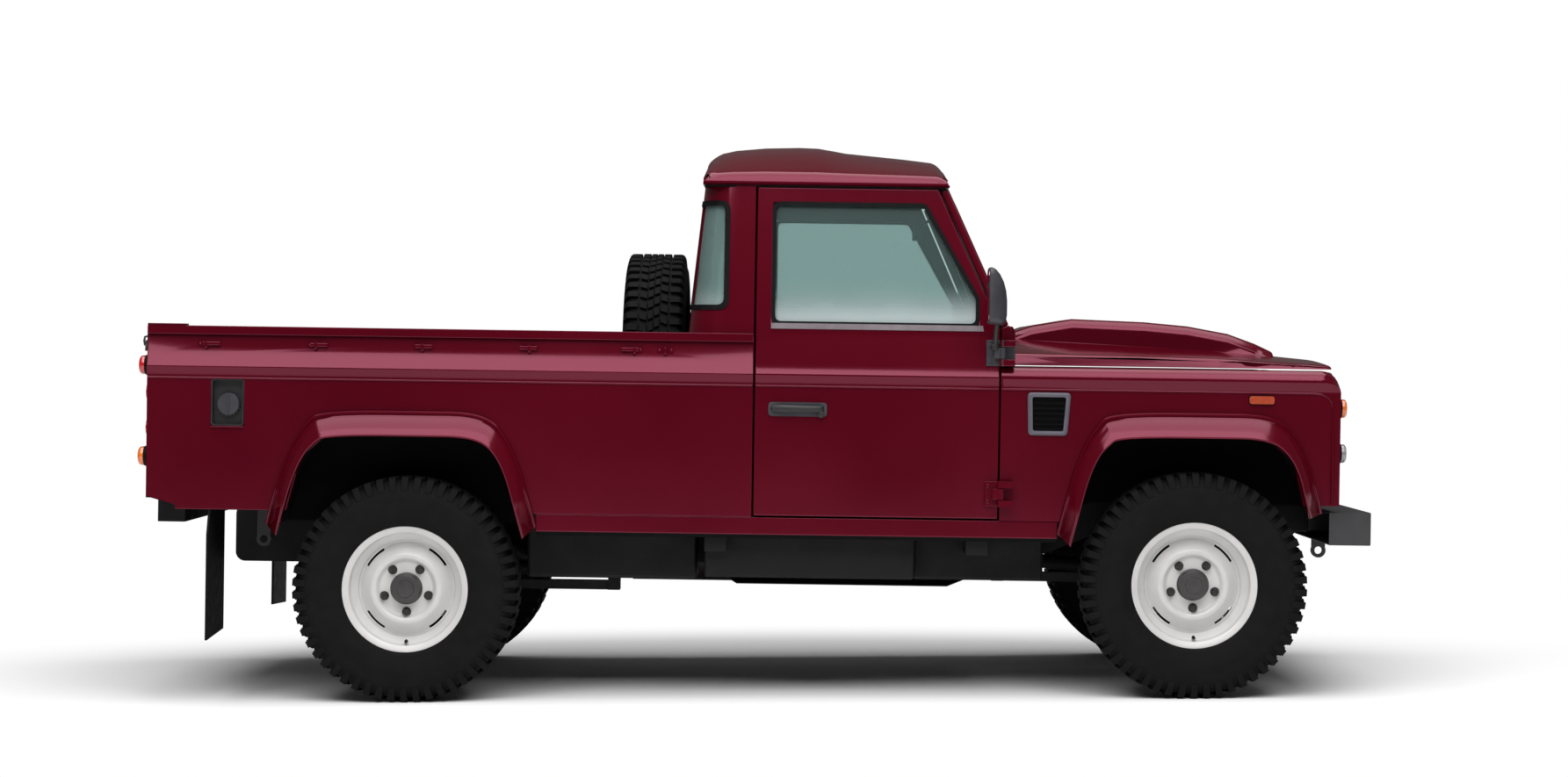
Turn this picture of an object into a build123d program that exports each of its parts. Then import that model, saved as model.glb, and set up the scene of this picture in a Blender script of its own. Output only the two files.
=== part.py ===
"""Two-door utility pickup truck, in millimetres.

X runs forward, Y to the vehicle's left, Z up from the ground. Everything is drawn about the middle of the
wheelbase and moved at the end, so that the origin lies under the middle of the overall length. The sprung
body and frame are drawn level and then leaned nose down on the springs; axles and wheels stay level.
"""
from build123d import *
from math import cos, radians, sin, sqrt
import os

os.makedirs("parts", exist_ok=True)

# Running gear
WHEELBASE = 2794
TRACK = 1486
TYRE_RADIUS = 400
TYRE_WIDTH = 235
RIM_RADIUS = 203
RIM_WIDTH = 184
STUD_CIRCLE = 82.5
KINGPIN_Y = 630
HUB_FACE = 716
STUB_RADIUS = 32
TUBE_RADIUS = 42
DIFF_Y = -180
BALL_RADIUS = 69.5

# Lean of the body on its springs
RAKE = 1.1
RAKE_HEIGHT = 1000

# Body lines, lengthwise
BUMPER_FRONT = 2038
WING_FRONT = 1917
BONNET_REAR = 768
WING_REAR = 714
DOOR_FRONT = 708
DOOR_REAR = -157
CAB_REAR = -400
TUB_FRONT = -412
TUB_REAR = -2308
STEP_REAR = -2364

# Body lines, upright
SILL_BOTTOM = 571
SILL_TOP = 646
SHUT_GAP = 6
WAIST_LOW = 1117
WAIST = 1152
WAIST_HIGH = 1190
RAIL_LOW = 1266
RIM_TOP = 1297
BELT = 1302
DOOR_TOP = 1822
WING_TOP = 1192
BED_FLOOR = 800
CAB_FLOOR = 650

# Half widths
LOWER_HALF = 836
WAIST_HALF = LOWER_HALF + 14
RAIL_HALF = LOWER_HALF - 14
BELT_HALF = LOWER_HALF - 21
EAVES_HALF = BELT_HALF - 80
FLARE_HALF = LOWER_HALF + 59
FLARE_SHOULDER = LOWER_HALF + 14
PILLAR_HALF = LOWER_HALF - 16
SCUTTLE_HALF = PILLAR_HALF - 45
SCREEN_FOOT_HALF = PILLAR_HALF - 20
SCREEN_HEAD_HALF = EAVES_HALF - 9
BONNET_HALF = LOWER_HALF - 176
FLOOR_HALF = LOWER_HALF - 54

# Wall thicknesses
DOOR_WALL = 45
TUB_WALL = 45
SKIN = 20
GLASS = 6
CAB_WALL = 26
SCREEN_FRAME = 28

# Windscreen plane, foot and head in side view
SCREEN_FOOT = (741, 1340)
SCREEN_HEAD = (516, 1841)

# Frame rails
RAIL_OUTER = 400
RAIL_INNER = 320
RAIL_DEPTH = 130

AXLE_X = WHEELBASE / 2
WHEEL_Y = TRACK / 2


def lean(x, z):
    """Side-view point of the level body, after it leans nose down."""
    c = cos(radians(RAKE))
    s = sin(radians(RAKE))
    return (x * c + (z - RAKE_HEIGHT) * s, RAKE_HEIGHT + (z - RAKE_HEIGHT) * c - x * s)


def unlean(x, z):
    """Point of the level body that comes to lie at a given point above the road."""
    c = cos(radians(RAKE))
    s = sin(radians(RAKE))
    return (x * c - (z - RAKE_HEIGHT) * s, RAKE_HEIGHT + (z - RAKE_HEIGHT) * c + x * s)


BUMPER_TOP = 692
STEP_TOP = 716
BOX_SHIFT = -(lean(BUMPER_FRONT, BUMPER_TOP)[0] + lean(STEP_REAR, STEP_TOP)[0]) / 2
LEAN_LINE = Axis((0, 0, RAKE_HEIGHT), (0, 1, 0))


def save(part, name, sprung=True):
    """Lean a sprung piece, centre it and write it."""
    placed = part.rotate(LEAN_LINE, RAKE) if sprung else part
    placed = placed.moved(Location((BOX_SHIFT, 0, 0)))
    placed.label = name
    export_step(placed, f"parts/{name}.step")


def across(outline, y0, y1, mode=Mode.ADD):
    """Side-view outline (x, z) with thickness from y0 to y1."""
    with BuildSketch(Plane.XZ.offset(-y0)) as face:
        with BuildLine():
            Polyline(*outline, close=True)
        make_face()
    extrude(face.sketch, amount=-(y1 - y0), mode=mode)


def along(outline, x0, x1, mode=Mode.ADD):
    """Cross-section outline (y, z) run from x0 to x1."""
    with BuildSketch(Plane.YZ.offset(x0)) as face:
        with BuildLine():
            Polyline(*outline, close=True)
        make_face()
    extrude(face.sketch, amount=x1 - x0, mode=mode)


def block(x0, x1, y0, y1, z0, z1, mode=Mode.ADD):
    """Square-cornered piece between two corners."""
    with Locations(((x0 + x1) / 2, (y0 + y1) / 2, (z0 + z1) / 2)):
        Box(x1 - x0, y1 - y0, z1 - z0, mode=mode)


def rod(start, end, radius, mode=Mode.ADD):
    """Round bar between two points."""
    run = Vector(*end) - Vector(*start)
    with BuildSketch(Plane(origin=start, z_dir=run.normalized())) as face:
        Circle(radius)
    extrude(face.sketch, amount=run.length, mode=mode)


def turned(outline, mode=Mode.ADD):
    """Outline (radius, y) turned about the wheel's own axis."""
    with BuildSketch(Plane.XY) as face:
        with BuildLine():
            Polyline(*outline, close=True)
        make_face()
    revolve(face.sketch, axis=Axis.Y, mode=mode)


# Outer face of the body side below the belt: height, half width
SIDE_SECTION = [
    (SILL_TOP, LOWER_HALF - 8),
    (WAIST_LOW, LOWER_HALF),
    (WAIST, WAIST_HALF),
    (WAIST_HIGH, LOWER_HALF),
    (RAIL_LOW, RAIL_HALF),
]


def half_at(z):
    """Half width of the body side at a height."""
    for (z0, half0), (z1, half1) in zip(SIDE_SECTION, SIDE_SECTION[1:]):
        if z <= z1:
            return half0 + (z - z0) * (half1 - half0) / (z1 - z0)
    return SIDE_SECTION[-1][1]


def side_plate(x0, x1, z0, z1, thickness):
    """Flat plate lying on the left body side."""
    section = [(half_at(z0), z0), (half_at(z1), z1), (half_at(z1) + thickness, z1), (half_at(z0) + thickness, z0)]
    along(section, x0, x1)


def arch_outline(wheel_x, half, shoulder, crown, top, foot):
    """Wheel-arch outline: half width at the foot, its shoulder and its flat crown."""
    shoulder_x, shoulder_z = shoulder
    right = [(half, foot), (shoulder_x, shoulder_z), (crown, top)]
    left = [(-x, z) for x, z in reversed(right)]
    return [(wheel_x + x, z) for x, z in right + left]


# Arches: wheel x, height of the opening's top
ARCHES = [
    (AXLE_X, 948),
    (-AXLE_X - 6, 915),
]
OPENING_HALF = 432
FLARE_BAND = 48
FLARE_LIP = 16
ARCH_FOOT = 560
NOSE_LOW = 715


def opening_outline(wheel_x, top):
    return arch_outline(wheel_x, OPENING_HALF, (358, top - 82), 268, top, ARCH_FOOT)


def flare_outline(wheel_x, top, band=FLARE_BAND, rise=90):
    """Outer line of an eyebrow, its band standing off the opening and its crown risen above it."""
    grow = band / FLARE_BAND
    shoulder = (358 + 46 * grow, top - 82 + 42 * grow)
    return arch_outline(wheel_x, OPENING_HALF + band, shoulder, 268 + 32 * grow, top + rise, ARCH_FOOT + 44)


# Wheels: tyre-side line of the rim, as y and radius
RIM_LINE = [
    (-RIM_WIDTH / 2, RIM_RADIUS + 20),
    (-RIM_WIDTH / 2 + 12, RIM_RADIUS + 3),
    (-55, RIM_RADIUS),
    (-38, RIM_RADIUS - 26),
    (32, RIM_RADIUS - 26),
    (52, RIM_RADIUS),
    (RIM_WIDTH / 2 - 12, RIM_RADIUS + 3),
    (RIM_WIDTH / 2, RIM_RADIUS + 20),
]
RIM_METAL = 7
DISC_FACE = 40
# Pressed disc of the wheel: radius, outer face y
DISC_LINE = [
    (STUB_RADIUS + 0.05, DISC_FACE),
    (92, DISC_FACE),
    (108, 56),
    (124, 56),
    (150, 30),
    (RIM_RADIUS - 26 - RIM_METAL + 1, 14),
]
DISC_METAL = 8
NUTS = 5
STUD_HOLE = 8
SLOTS = 4


def wheel(with_hub=True):
    """Pressed steel wheel, its outer side toward +Y, with its hub and brake disc."""
    with BuildPart() as pressed:
        rim = [(radius, y) for y, radius in RIM_LINE]
        turned(rim + [(radius - RIM_METAL, y) for radius, y in reversed(rim)])
        turned(DISC_LINE + [(radius, y - DISC_METAL) for radius, y in reversed(DISC_LINE)])
        with BuildSketch(Plane.XZ.offset(-60)):
            with PolarLocations(0, SLOTS, start_angle=29.5):
                SlotArc(CenterArc((0, 0), 160, 0, 31), 9)
        extrude(amount=60, mode=Mode.SUBTRACT)
        if not with_hub:
            with BuildSketch(Plane.XZ.offset(-60)):
                with PolarLocations(STUD_CIRCLE, NUTS, start_angle=-90):
                    Circle(STUD_HOLE)
            extrude(amount=60, mode=Mode.SUBTRACT)
        if with_hub:
            with BuildSketch(Plane.XZ.offset(-39)):
                with PolarLocations(STUD_CIRCLE, NUTS, start_angle=-90):
                    RegularPolygon(15, 6)
            extrude(amount=-21)
            hub_back = HUB_FACE + 8 - WHEEL_Y
            turned([(STUB_RADIUS + 0.05, hub_back), (70, hub_back), (70, 33), (STUB_RADIUS + 0.05, 33)])
            turned([(0, 40), (57, 40), (57, 72), (46, 82), (0, 82)])
            turned([(69, hub_back), (140, hub_back), (140, hub_back + 14), (69, hub_back + 14)])
    return pressed.part


# Tyre section as radius and y from bead to tread, through a shoulder lug and through the gap behind it
TYRE_SECTORS = 32
TYRE_BEAD = RIM_RADIUS + 3.4
BEAD_HALF = 78
BEAD_INNER_HALF = 62
TYRE_HALF = TYRE_WIDTH / 2
TREAD_CENTRE = 42
LUG_SIDE = [(384, TYRE_HALF - 14), (TYRE_RADIUS, TYRE_HALF - 32)]
GAP_SIDE = [(368, TYRE_HALF - 19), (TYRE_RADIUS - 12, TYRE_HALF - 38)]
SIDEWALL = (300, TYRE_HALF)
CASING_INSIDE = (368, 84)


def tyre_section(shoulder):
    """Closed tyre section with the given shoulder on both sides."""
    near = [(TYRE_BEAD, BEAD_HALF), SIDEWALL] + shoulder + [(TYRE_RADIUS, TREAD_CENTRE)]
    inner = [CASING_INSIDE, (TYRE_BEAD, BEAD_INNER_HALF)]
    far = [(radius, -y) for radius, y in reversed(near)]
    inner_far = [(radius, -y) for radius, y in reversed(inner)]
    return near + far + inner_far + inner


def tyre():
    """Tyre in flat sectors, every other one a lug, open inside and seated just off the rim."""
    step = 360 / TYRE_SECTORS
    reach = 1 / cos(radians(step / 2))

    def corner(point, angle):
        radius, y = point
        return (radius * reach * cos(radians(angle)), y, radius * reach * sin(radians(angle)))

    faces = []
    for number in range(TYRE_SECTORS):
        start = step * (number - 0.5) - 90
        end = start + step
        section = tyre_section(LUG_SIDE if number % 2 == 0 else GAP_SIDE)
        for near, far in zip(section, section[1:] + section[:1]):
            corners = [corner(near, start), corner(far, start), corner(far, end), corner(near, end)]
            faces.append(Face(Wire.make_polygon(corners)))
        for side in (1, -1):
            lug_edge = [SIDEWALL] + LUG_SIDE + [(TYRE_RADIUS, TREAD_CENTRE)]
            edge = [(radius, side * y) for radius, y in lug_edge + GAP_SIDE[::-1]]
            faces.append(Face(Wire.make_polygon([corner(point, start) for point in edge])))
    return Part(Solid(Shell(faces)).wrapped)


WHEEL_PLACES = [
    ("front_left", AXLE_X, 1),
    ("front_right", AXLE_X, -1),
    ("rear_left", -AXLE_X, 1),
    ("rear_right", -AXLE_X, -1),
]


def road_wheels():
    for place, x, side in WHEEL_PLACES:
        for kind, piece in (("wheel", wheel()), ("tyre", tyre())):
            if side < 0:
                piece = mirror(piece, about=Plane.XZ)
            spot = Location((x, side * WHEEL_Y, TYRE_RADIUS))
            save(piece.moved(spot), f"{kind}_{place}", sprung=False)


# Axles
DIFF_RADIUS = 140
CUP_GAP = 0.5
CUP_WALL = 14
CUP_LIP = 10


def diff_and_tube(x, half, nose):
    """Axle tube with the offset differential housing and its pinion nose."""
    centre = (x, DIFF_Y, TYRE_RADIUS)
    rod((x, -half, TYRE_RADIUS), (x, half, TYRE_RADIUS), TUBE_RADIUS)
    with Locations(centre):
        Sphere(DIFF_RADIUS)
    block(x - 200, x + 200, DIFF_Y + 80, DIFF_Y + 200, 200, 600, mode=Mode.SUBTRACT)
    block(x - 200, x + 200, DIFF_Y - 200, DIFF_Y - 80, 200, 600, mode=Mode.SUBTRACT)
    rod((x, -half, TYRE_RADIUS), (x, half, TYRE_RADIUS), TUBE_RADIUS)
    rod(centre, (x + nose, DIFF_Y, TYRE_RADIUS + 26), 52)


NOSE = 215


def front_axle():
    with BuildPart() as axle:
        diff_and_tube(AXLE_X, KINGPIN_Y, -NOSE)
        with Locations((AXLE_X, KINGPIN_Y, TYRE_RADIUS), (AXLE_X, -KINGPIN_Y, TYRE_RADIUS)):
            Sphere(BALL_RADIUS)
    save(axle.part, "front_axle", sprung=False)


def rear_axle():
    with BuildPart() as axle:
        diff_and_tube(-AXLE_X, HUB_FACE, NOSE)
        for side in (1, -1):
            flange = (-AXLE_X, side * (HUB_FACE - 30), TYRE_RADIUS)
            rod(flange, (-AXLE_X, side * HUB_FACE, TYRE_RADIUS), 62)
            rod(flange, (-AXLE_X, side * (WHEEL_Y + 39), TYRE_RADIUS), STUB_RADIUS)
    save(axle.part, "rear_axle", sprung=False)


def knuckles():
    """Swivel housings: a cup over the axle ball, a stub for the hub and a steering arm."""
    inner = BALL_RADIUS + CUP_GAP
    outer = inner + CUP_WALL
    with BuildPart() as cup:
        with Locations((AXLE_X, KINGPIN_Y, TYRE_RADIUS)):
            Sphere(outer)
        rod((AXLE_X, KINGPIN_Y, TYRE_RADIUS - outer - 10), (AXLE_X, KINGPIN_Y, TYRE_RADIUS + outer + 10), 26)
        rod((AXLE_X, KINGPIN_Y, TYRE_RADIUS), (AXLE_X, HUB_FACE, TYRE_RADIUS), 62)
        rod((AXLE_X, HUB_FACE - 4, TYRE_RADIUS), (AXLE_X, WHEEL_Y + 39, TYRE_RADIUS), STUB_RADIUS)
        block(AXLE_X - 165, AXLE_X - 50, KINGPIN_Y + 10, KINGPIN_Y + 45, TYRE_RADIUS - 60, TYRE_RADIUS - 38)
        with Locations((AXLE_X, KINGPIN_Y, TYRE_RADIUS)):
            Sphere(inner, mode=Mode.SUBTRACT)
        reach = outer + 20
        lip = KINGPIN_Y - CUP_LIP
        low = TYRE_RADIUS - reach
        high = TYRE_RADIUS + reach
        block(AXLE_X - reach, AXLE_X + reach, lip - reach, lip, low, high, mode=Mode.SUBTRACT)
    save(cup.part, "knuckle_left", sprung=False)
    save(mirror(cup.part, about=Plane.XZ), "knuckle_right", sprung=False)


# Side line of the frame rails: x, underside z
RAIL_LINE = [
    (1880, 600),
    (1150, 600),
    (780, 455),
    (-700, 455),
    (-1020, 640),
    (-2190, 640),
]
CROSS_TUBES = [(1700, 665), (-700, 540), (-1120, 705), (-1640, 705)]
OUTRIGGERS = [(600, 680), (-330, -250)]


def chassis_frame():
    """Box-section rails with tubes, outriggers and the rear cross-member."""
    with BuildPart() as frame:
        outline = RAIL_LINE + [(x, z + RAIL_DEPTH) for x, z in reversed(RAIL_LINE)]
        across(outline, RAIL_INNER, RAIL_OUTER)
        for x0, x1 in OUTRIGGERS:
                block(x0, x1, RAIL_OUTER - 5, FLOOR_HALF, 520, CAB_FLOOR - SKIN)
        block(-2290, -2190, -10, 700, 594, 690)
        block(-2190, -2120, RAIL_INNER, RAIL_OUTER, 640, 770)
        block(STEP_REAR, -2290, 260, 300, STEP_TOP - 50, STEP_TOP - 6)
        block(STEP_REAR, STEP_REAR + 44, -10, 560, STEP_TOP - 44, STEP_TOP)
        mirror(about=Plane.XZ)
        for x, z in CROSS_TUBES:
            rod((x, -RAIL_INNER - 5, z), (x, RAIL_INNER + 5, z), 38)
    save(frame.part, "chassis_frame")


def bumper_and_eyes():
    """Channel bumper on two irons, and four lashing eyes."""
    with BuildPart() as bumper:
        face = BUMPER_FRONT
        low = BUMPER_TOP - 118
        channel = [
            (face - 150, low),
            (face, low),
            (face, BUMPER_TOP),
            (face - 150, BUMPER_TOP),
            (face - 150, BUMPER_TOP - 8),
            (face - 8, BUMPER_TOP - 8),
            (face - 8, low + 8),
            (face - 150, low + 8),
        ]
        across(channel, -790, 790)
        for side in (1, -1):
            inner = side * (RAIL_INNER + 40)
            block(1880, face - 8, inner - 35, inner + 35, 604, 680)
    save(bumper.part, "front_bumper")


ARM_Y = 360
SPRING_Y = 475


def suspension():
    """Coil springs with their seats, and the arms that locate each axle."""
    rails_front, rails_rear = 600 + RAIL_DEPTH, 640 + RAIL_DEPTH
    with BuildPart() as links:
        for axle_x, rail_top in ((AXLE_X, rails_front), (-AXLE_X, rails_rear)):
            x, axle_z = unlean(axle_x, TYRE_RADIUS)
            spring_top = rail_top - 30
            rod((x, SPRING_Y, axle_z + TUBE_RADIUS + 0.5), (x, SPRING_Y, spring_top), 60)
            block(x - 70, x + 70, RAIL_OUTER, SPRING_Y + 75, spring_top, rail_top)
            pivot_x = 740 if axle_x > 0 else -670
            near = x - TUBE_RADIUS - 0.5 if axle_x > 0 else x + TUBE_RADIUS + 0.5
            x0, x1 = sorted((near, pivot_x))
            block(x0, x1, ARM_Y - 15, ARM_Y + 15, axle_z - 25, axle_z + 10)
            block(pivot_x - 22, pivot_x + 22, ARM_Y - 30, ARM_Y + 30, axle_z - 25, 455)
        mirror(about=Plane.XZ)
    save(links.part, "suspension")


# Engine block with gearbox and transfer box: x0, x1, y0, y1, z0, z1
DRIVE_BLOCKS = [
    (930, 1560, -210, 230, 640, 1090),
    (1030, 1500, -110, 110, 560, 640),
    (330, 930, -120, 120, 535, 760),
    (60, 330, -250, 110, 470, 620),
    (1180, 1260, -RAIL_INNER, RAIL_INNER, 650, 700),
    (120, 180, -RAIL_INNER, RAIL_INNER, 480, 520),
]
PROP_RADIUS = 26
TRANSFER_Z = 500


def drivetrain():
    """One plain mass for engine, gearbox and transfer box, with both propeller shafts."""
    with BuildPart() as mass:
        for extent in DRIVE_BLOCKS:
            block(*extent)
        for side, transfer_x in ((1, 320), (-1, 70)):
            nose_x, nose_z = unlean(side * (AXLE_X - NOSE - 4), TYRE_RADIUS + 26)
            rod((transfer_x, DIFF_Y, TRANSFER_Z), (nose_x, DIFF_Y, nose_z), PROP_RADIUS)
    save(mass.part, "drivetrain")


def tank_and_exhaust():
    """Fuel tank slung between the rails, and the silencer with its pipe."""
    with BuildPart() as tank:
        block(-2080, -1700, -300, 300, 430, 640)
        fillet(tank.edges().filter_by(Axis.Y), 35)
        block(-2080, -1700, -RAIL_INNER, RAIL_INNER, 636, 642)
    save(tank.part, "fuel_tank")
    route = [
        (-60, 230, 425),
        (-1050, 230, 425),
        (-1300, 215, 560),
        (-1520, 215, 560),
        (-1610, 330, 520),
        (-1620, 480, 520),
        (-1950, 520, 520),
    ]
    with BuildPart() as pipe:
        with BuildLine() as path:
            FilletPolyline(*route, radius=45)
        with BuildSketch(Plane(origin=path.wire() @ 0, z_dir=path.wire() % 0)):
            Circle(26)
        sweep(path=path.wire())
        rod((-630, 230, 425), (-200, 230, 425), 80)
        block(-130, -110, 204, RAIL_INNER, 425, 480)
        block(-1480, -1460, 215, RAIL_INNER, 560, 660)
    save(pipe.part, "exhaust")


# Body side pieces
def side_wall(x0, x1, wall, low=SILL_TOP):
    """Body side below the belt, from x0 to x1, on the left: outer face to wall thickness."""
    outer = [(half, z) for z, half in SIDE_SECTION]
    outer[0] = (outer[0][0], low)
    inner_y = LOWER_HALF - wall
    along(outer + [(inner_y, RAIL_LOW), (inner_y, low)], x0, x1)


def sills():
    """Sill panels along both sides, between the arches."""
    front_x, front_top = ARCHES[0]
    rear_x, rear_top = ARCHES[1]
    front_end = front_x - OPENING_HALF - FLARE_BAND + 4
    rear_end = rear_x + OPENING_HALF + FLARE_BAND - 4
    with BuildPart() as panels:
        section = [(FLOOR_HALF, SILL_TOP), (LOWER_HALF - 10, SILL_TOP), (LOWER_HALF - 10, SILL_BOTTOM + 14)]
        section += [(LOWER_HALF - 26, SILL_BOTTOM), (LOWER_HALF - 34, SILL_BOTTOM)]
        section += [(LOWER_HALF - 34, SILL_TOP - SKIN), (FLOOR_HALF, SILL_TOP - SKIN)]
        along(section, rear_end, front_end)
        mirror(about=Plane.XZ)
    save(panels.part, "sills")


FRAME_BACK = 14
SEAT_BOX_FRONT = 130
SEAT_BOX_TOP = 850
TUNNEL_HALF = 150
TUNNEL_TOP = 790


def cab_floor():
    """Floor pan with the seat box and gearbox tunnel, open below."""
    with BuildPart() as floor:
        rear = CAB_REAR + CAB_WALL
        front = WING_REAR - FRAME_BACK
        box = FLOOR_HALF - 82
        pressing = SKIN - 4
        block(rear, front, -FLOOR_HALF, FLOOR_HALF, CAB_FLOOR - SKIN, CAB_FLOOR)
        block(rear, SEAT_BOX_FRONT, -box, box, CAB_FLOOR, SEAT_BOX_TOP)
        block(rear + pressing, SEAT_BOX_FRONT - pressing, -box + pressing, box - pressing,
              CAB_FLOOR - SKIN, SEAT_BOX_TOP - pressing, mode=Mode.SUBTRACT)
        block(SEAT_BOX_FRONT, front, -TUNNEL_HALF, TUNNEL_HALF, CAB_FLOOR, TUNNEL_TOP)
        block(SEAT_BOX_FRONT - 30, front, -TUNNEL_HALF + pressing, TUNNEL_HALF - pressing,
              CAB_FLOOR - SKIN, TUNNEL_TOP - pressing, mode=Mode.SUBTRACT)
    save(floor.part, "cab_floor")


SCUTTLE_TOP = 1318


def screen_foot_inner():
    """Inner edge of the windscreen frame's foot, side view."""
    run = SCREEN_FOOT[0] - SCREEN_HEAD[0]
    rise = SCREEN_HEAD[1] - SCREEN_FOOT[1]
    length = sqrt(run ** 2 + rise ** 2)
    return (SCREEN_FOOT[0] - SCREEN_FRAME * rise / length, SCREEN_FOOT[1] - SCREEN_FRAME * run / length)


def hinge_lugs(z, inner):
    """Two fixed lugs of a door hinge, bored for its pin."""
    for lug_z in (z - 34, z + 34):
        block(WING_REAR, HINGE_X + 44, inner, HINGE_Y + 11, lug_z - 12, lug_z + 12)
        rod((HINGE_X, HINGE_Y, lug_z - 12), (HINGE_X, HINGE_Y, lug_z + 12), 11)
    rod((HINGE_X, HINGE_Y, z - 60), (HINGE_X, HINGE_Y, z + 60), PIN_RADIUS + 0.05, mode=Mode.SUBTRACT)


def bulkhead():
    """Front bulkhead with the scuttle and pillars that carry the windscreen and the door hinges."""
    rear = WING_REAR - FRAME_BACK
    front = BONNET_REAR - 12
    inner_foot = screen_foot_inner()
    with BuildPart() as panel:
        block(rear, WING_REAR, -SCUTTLE_HALF, SCUTTLE_HALF, CAB_FLOOR - SKIN, WING_TOP)
        scuttle = [(rear, WING_TOP), (front, WING_TOP), (front, SCUTTLE_TOP - 12), SCREEN_FOOT, inner_foot]
        across(scuttle + [(rear, inner_foot[1])], -SCUTTLE_HALF, SCUTTLE_HALF)
        pillar = [(WING_REAR, WING_TOP), (front, WING_TOP), (front, SCUTTLE_TOP - 12), SCREEN_FOOT, inner_foot]
        across(pillar + [(WING_REAR, inner_foot[1])], -PILLAR_HALF, PILLAR_HALF)
        cavity = [
            (rear + 12, WING_TOP - 1),
            (front - 12, WING_TOP - 1),
            (front - 12, SCUTTLE_TOP - 30),
            (rear + 12, SCUTTLE_TOP - 12),
        ]
        across(cavity, -SCUTTLE_HALF + 12, SCUTTLE_HALF - 12, mode=Mode.SUBTRACT)
        block(rear, WING_REAR, -SCUTTLE_HALF, SCUTTLE_HALF, WING_TOP - 14, WING_TOP)
        mouth = TUNNEL_HALF - FRAME_BACK
        block(rear - 5, WING_REAR + 5, -mouth, mouth, CAB_FLOOR - SKIN - 5, TUNNEL_TOP - FRAME_BACK, mode=Mode.SUBTRACT)
        pin_x, pin_z = BONNET_PIN
        for y in (-BONNET_HINGE_Y, BONNET_HINGE_Y):
            for lug_y in (y - 30, y + 30):
                block(front - 12, pin_x, lug_y - 8, lug_y + 8, SCUTTLE_TOP - 18, pin_z)
                rod((pin_x, lug_y - 8, pin_z), (pin_x, lug_y + 8, pin_z), 9)
            rod((pin_x, y - 50, pin_z), (pin_x, y + 50, pin_z), 5.05, mode=Mode.SUBTRACT)
        with BuildPart(mode=Mode.PRIVATE) as lugs:
            hinge_lugs(HINGE_HEIGHTS[0], PILLAR_HALF)
            mirror(about=Plane.XZ)
        add(lugs.part)
    save(panel.part, "bulkhead")


def screen_plane():
    """Plane of the windscreen's outer face: x to the left, y up the glass, z outward."""
    foot = Vector(SCREEN_FOOT[0], 0, SCREEN_FOOT[1])
    head = Vector(SCREEN_HEAD[0], 0, SCREEN_HEAD[1])
    up = (head - foot).normalized()
    left = Vector(0, 1, 0)
    return Plane(origin=foot, x_dir=left, z_dir=left.cross(up))


SCREEN_HEIGHT = sqrt((SCREEN_FOOT[0] - SCREEN_HEAD[0]) ** 2 + (SCREEN_FOOT[1] - SCREEN_HEAD[1]) ** 2)
SCREEN_BORDER = 48


def windscreen():
    """Windscreen frame and, flush inside it, the glass."""
    foot_half = SCREEN_FOOT_HALF
    outline = [
        (-foot_half, 0),
        (foot_half, 0),
        (SCREEN_HEAD_HALF, SCREEN_HEIGHT - 16),
        (-SCREEN_HEAD_HALF, SCREEN_HEIGHT - 16),
    ]
    border = SCREEN_BORDER
    hole = [
        (-foot_half + border, border + 10),
        (foot_half - border, border + 10),
        (SCREEN_HEAD_HALF - border + 6, SCREEN_HEIGHT - border - 20),
        (-SCREEN_HEAD_HALF + border - 6, SCREEN_HEIGHT - border - 20),
    ]
    with BuildPart() as frame:
        with BuildSketch(screen_plane()) as face:
            with BuildLine():
                Polyline(*outline, close=True)
            make_face()
            with BuildLine() as opening:
                Polyline(*hole, close=True)
            make_face(opening.line, mode=Mode.SUBTRACT)
        extrude(amount=-SCREEN_FRAME)
    save(frame.part, "windscreen_frame")
    with BuildPart() as glass:
        with BuildSketch(screen_plane().offset(-8)) as face:
            with BuildLine():
                Polyline(*hole, close=True)
            make_face()
        extrude(amount=-GLASS)
    return glass.part


CAB_CORNER = 130


def cab_shell(inset):
    """Upper cab volume behind the doors, tapering to the eaves."""
    low = RIM_TOP
    high = DOOR_TOP + SHUT_GAP
    with BuildPart() as solid:
        for z, rear, half in ((low, CAB_REAR, BELT_HALF), (high, CAB_REAR + 52, EAVES_HALF)):
            with BuildSketch(Plane.XY.offset(z)):
                with BuildLine():
                    back = rear + inset
                    side = half - inset
                    radius = CAB_CORNER - inset
                    Line((200, side), (back + radius, side))
                    RadiusArc((back + radius, side), (back, side - radius), -radius)
                    Line((back, side - radius), (back, -side + radius))
                    RadiusArc((back, -side + radius), (back + radius, -side), -radius)
                    Line((back + radius, -side), (200, -side))
                    Line((200, -side), (200, side))
                make_face()
        loft()
    return solid.part


def rounded_window(plane, width, height, radius, depth):
    """Rounded window prism through a panel."""
    with BuildPart() as prism:
        with BuildSketch(plane):
            RectangleRounded(width, height, radius)
        extrude(amount=depth, both=True)
    return prism.part


REAR_WINDOW = (980, 330)
REAR_WINDOW_Z = 1570
CORNER_WINDOW_Z = (1392, 1760)
CORNER_WINDOW_X = CAB_REAR + 6


def cab_window_cutters():
    """Rear window and the two windows that wrap the rear corners."""
    width, height = REAR_WINDOW
    rear = rounded_window(Plane(origin=(CAB_REAR, 0, REAR_WINDOW_Z), x_dir=(0, 1, 0), z_dir=(-1, 0, 0)),
                          width, height, 50, 80)
    low, high = CORNER_WINDOW_Z
    with BuildPart() as corner:
        block(CORNER_WINDOW_X - 20, -268, 610, 860, low, high)
    return [rear, corner.part, mirror(corner.part, about=Plane.XZ)]


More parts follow.
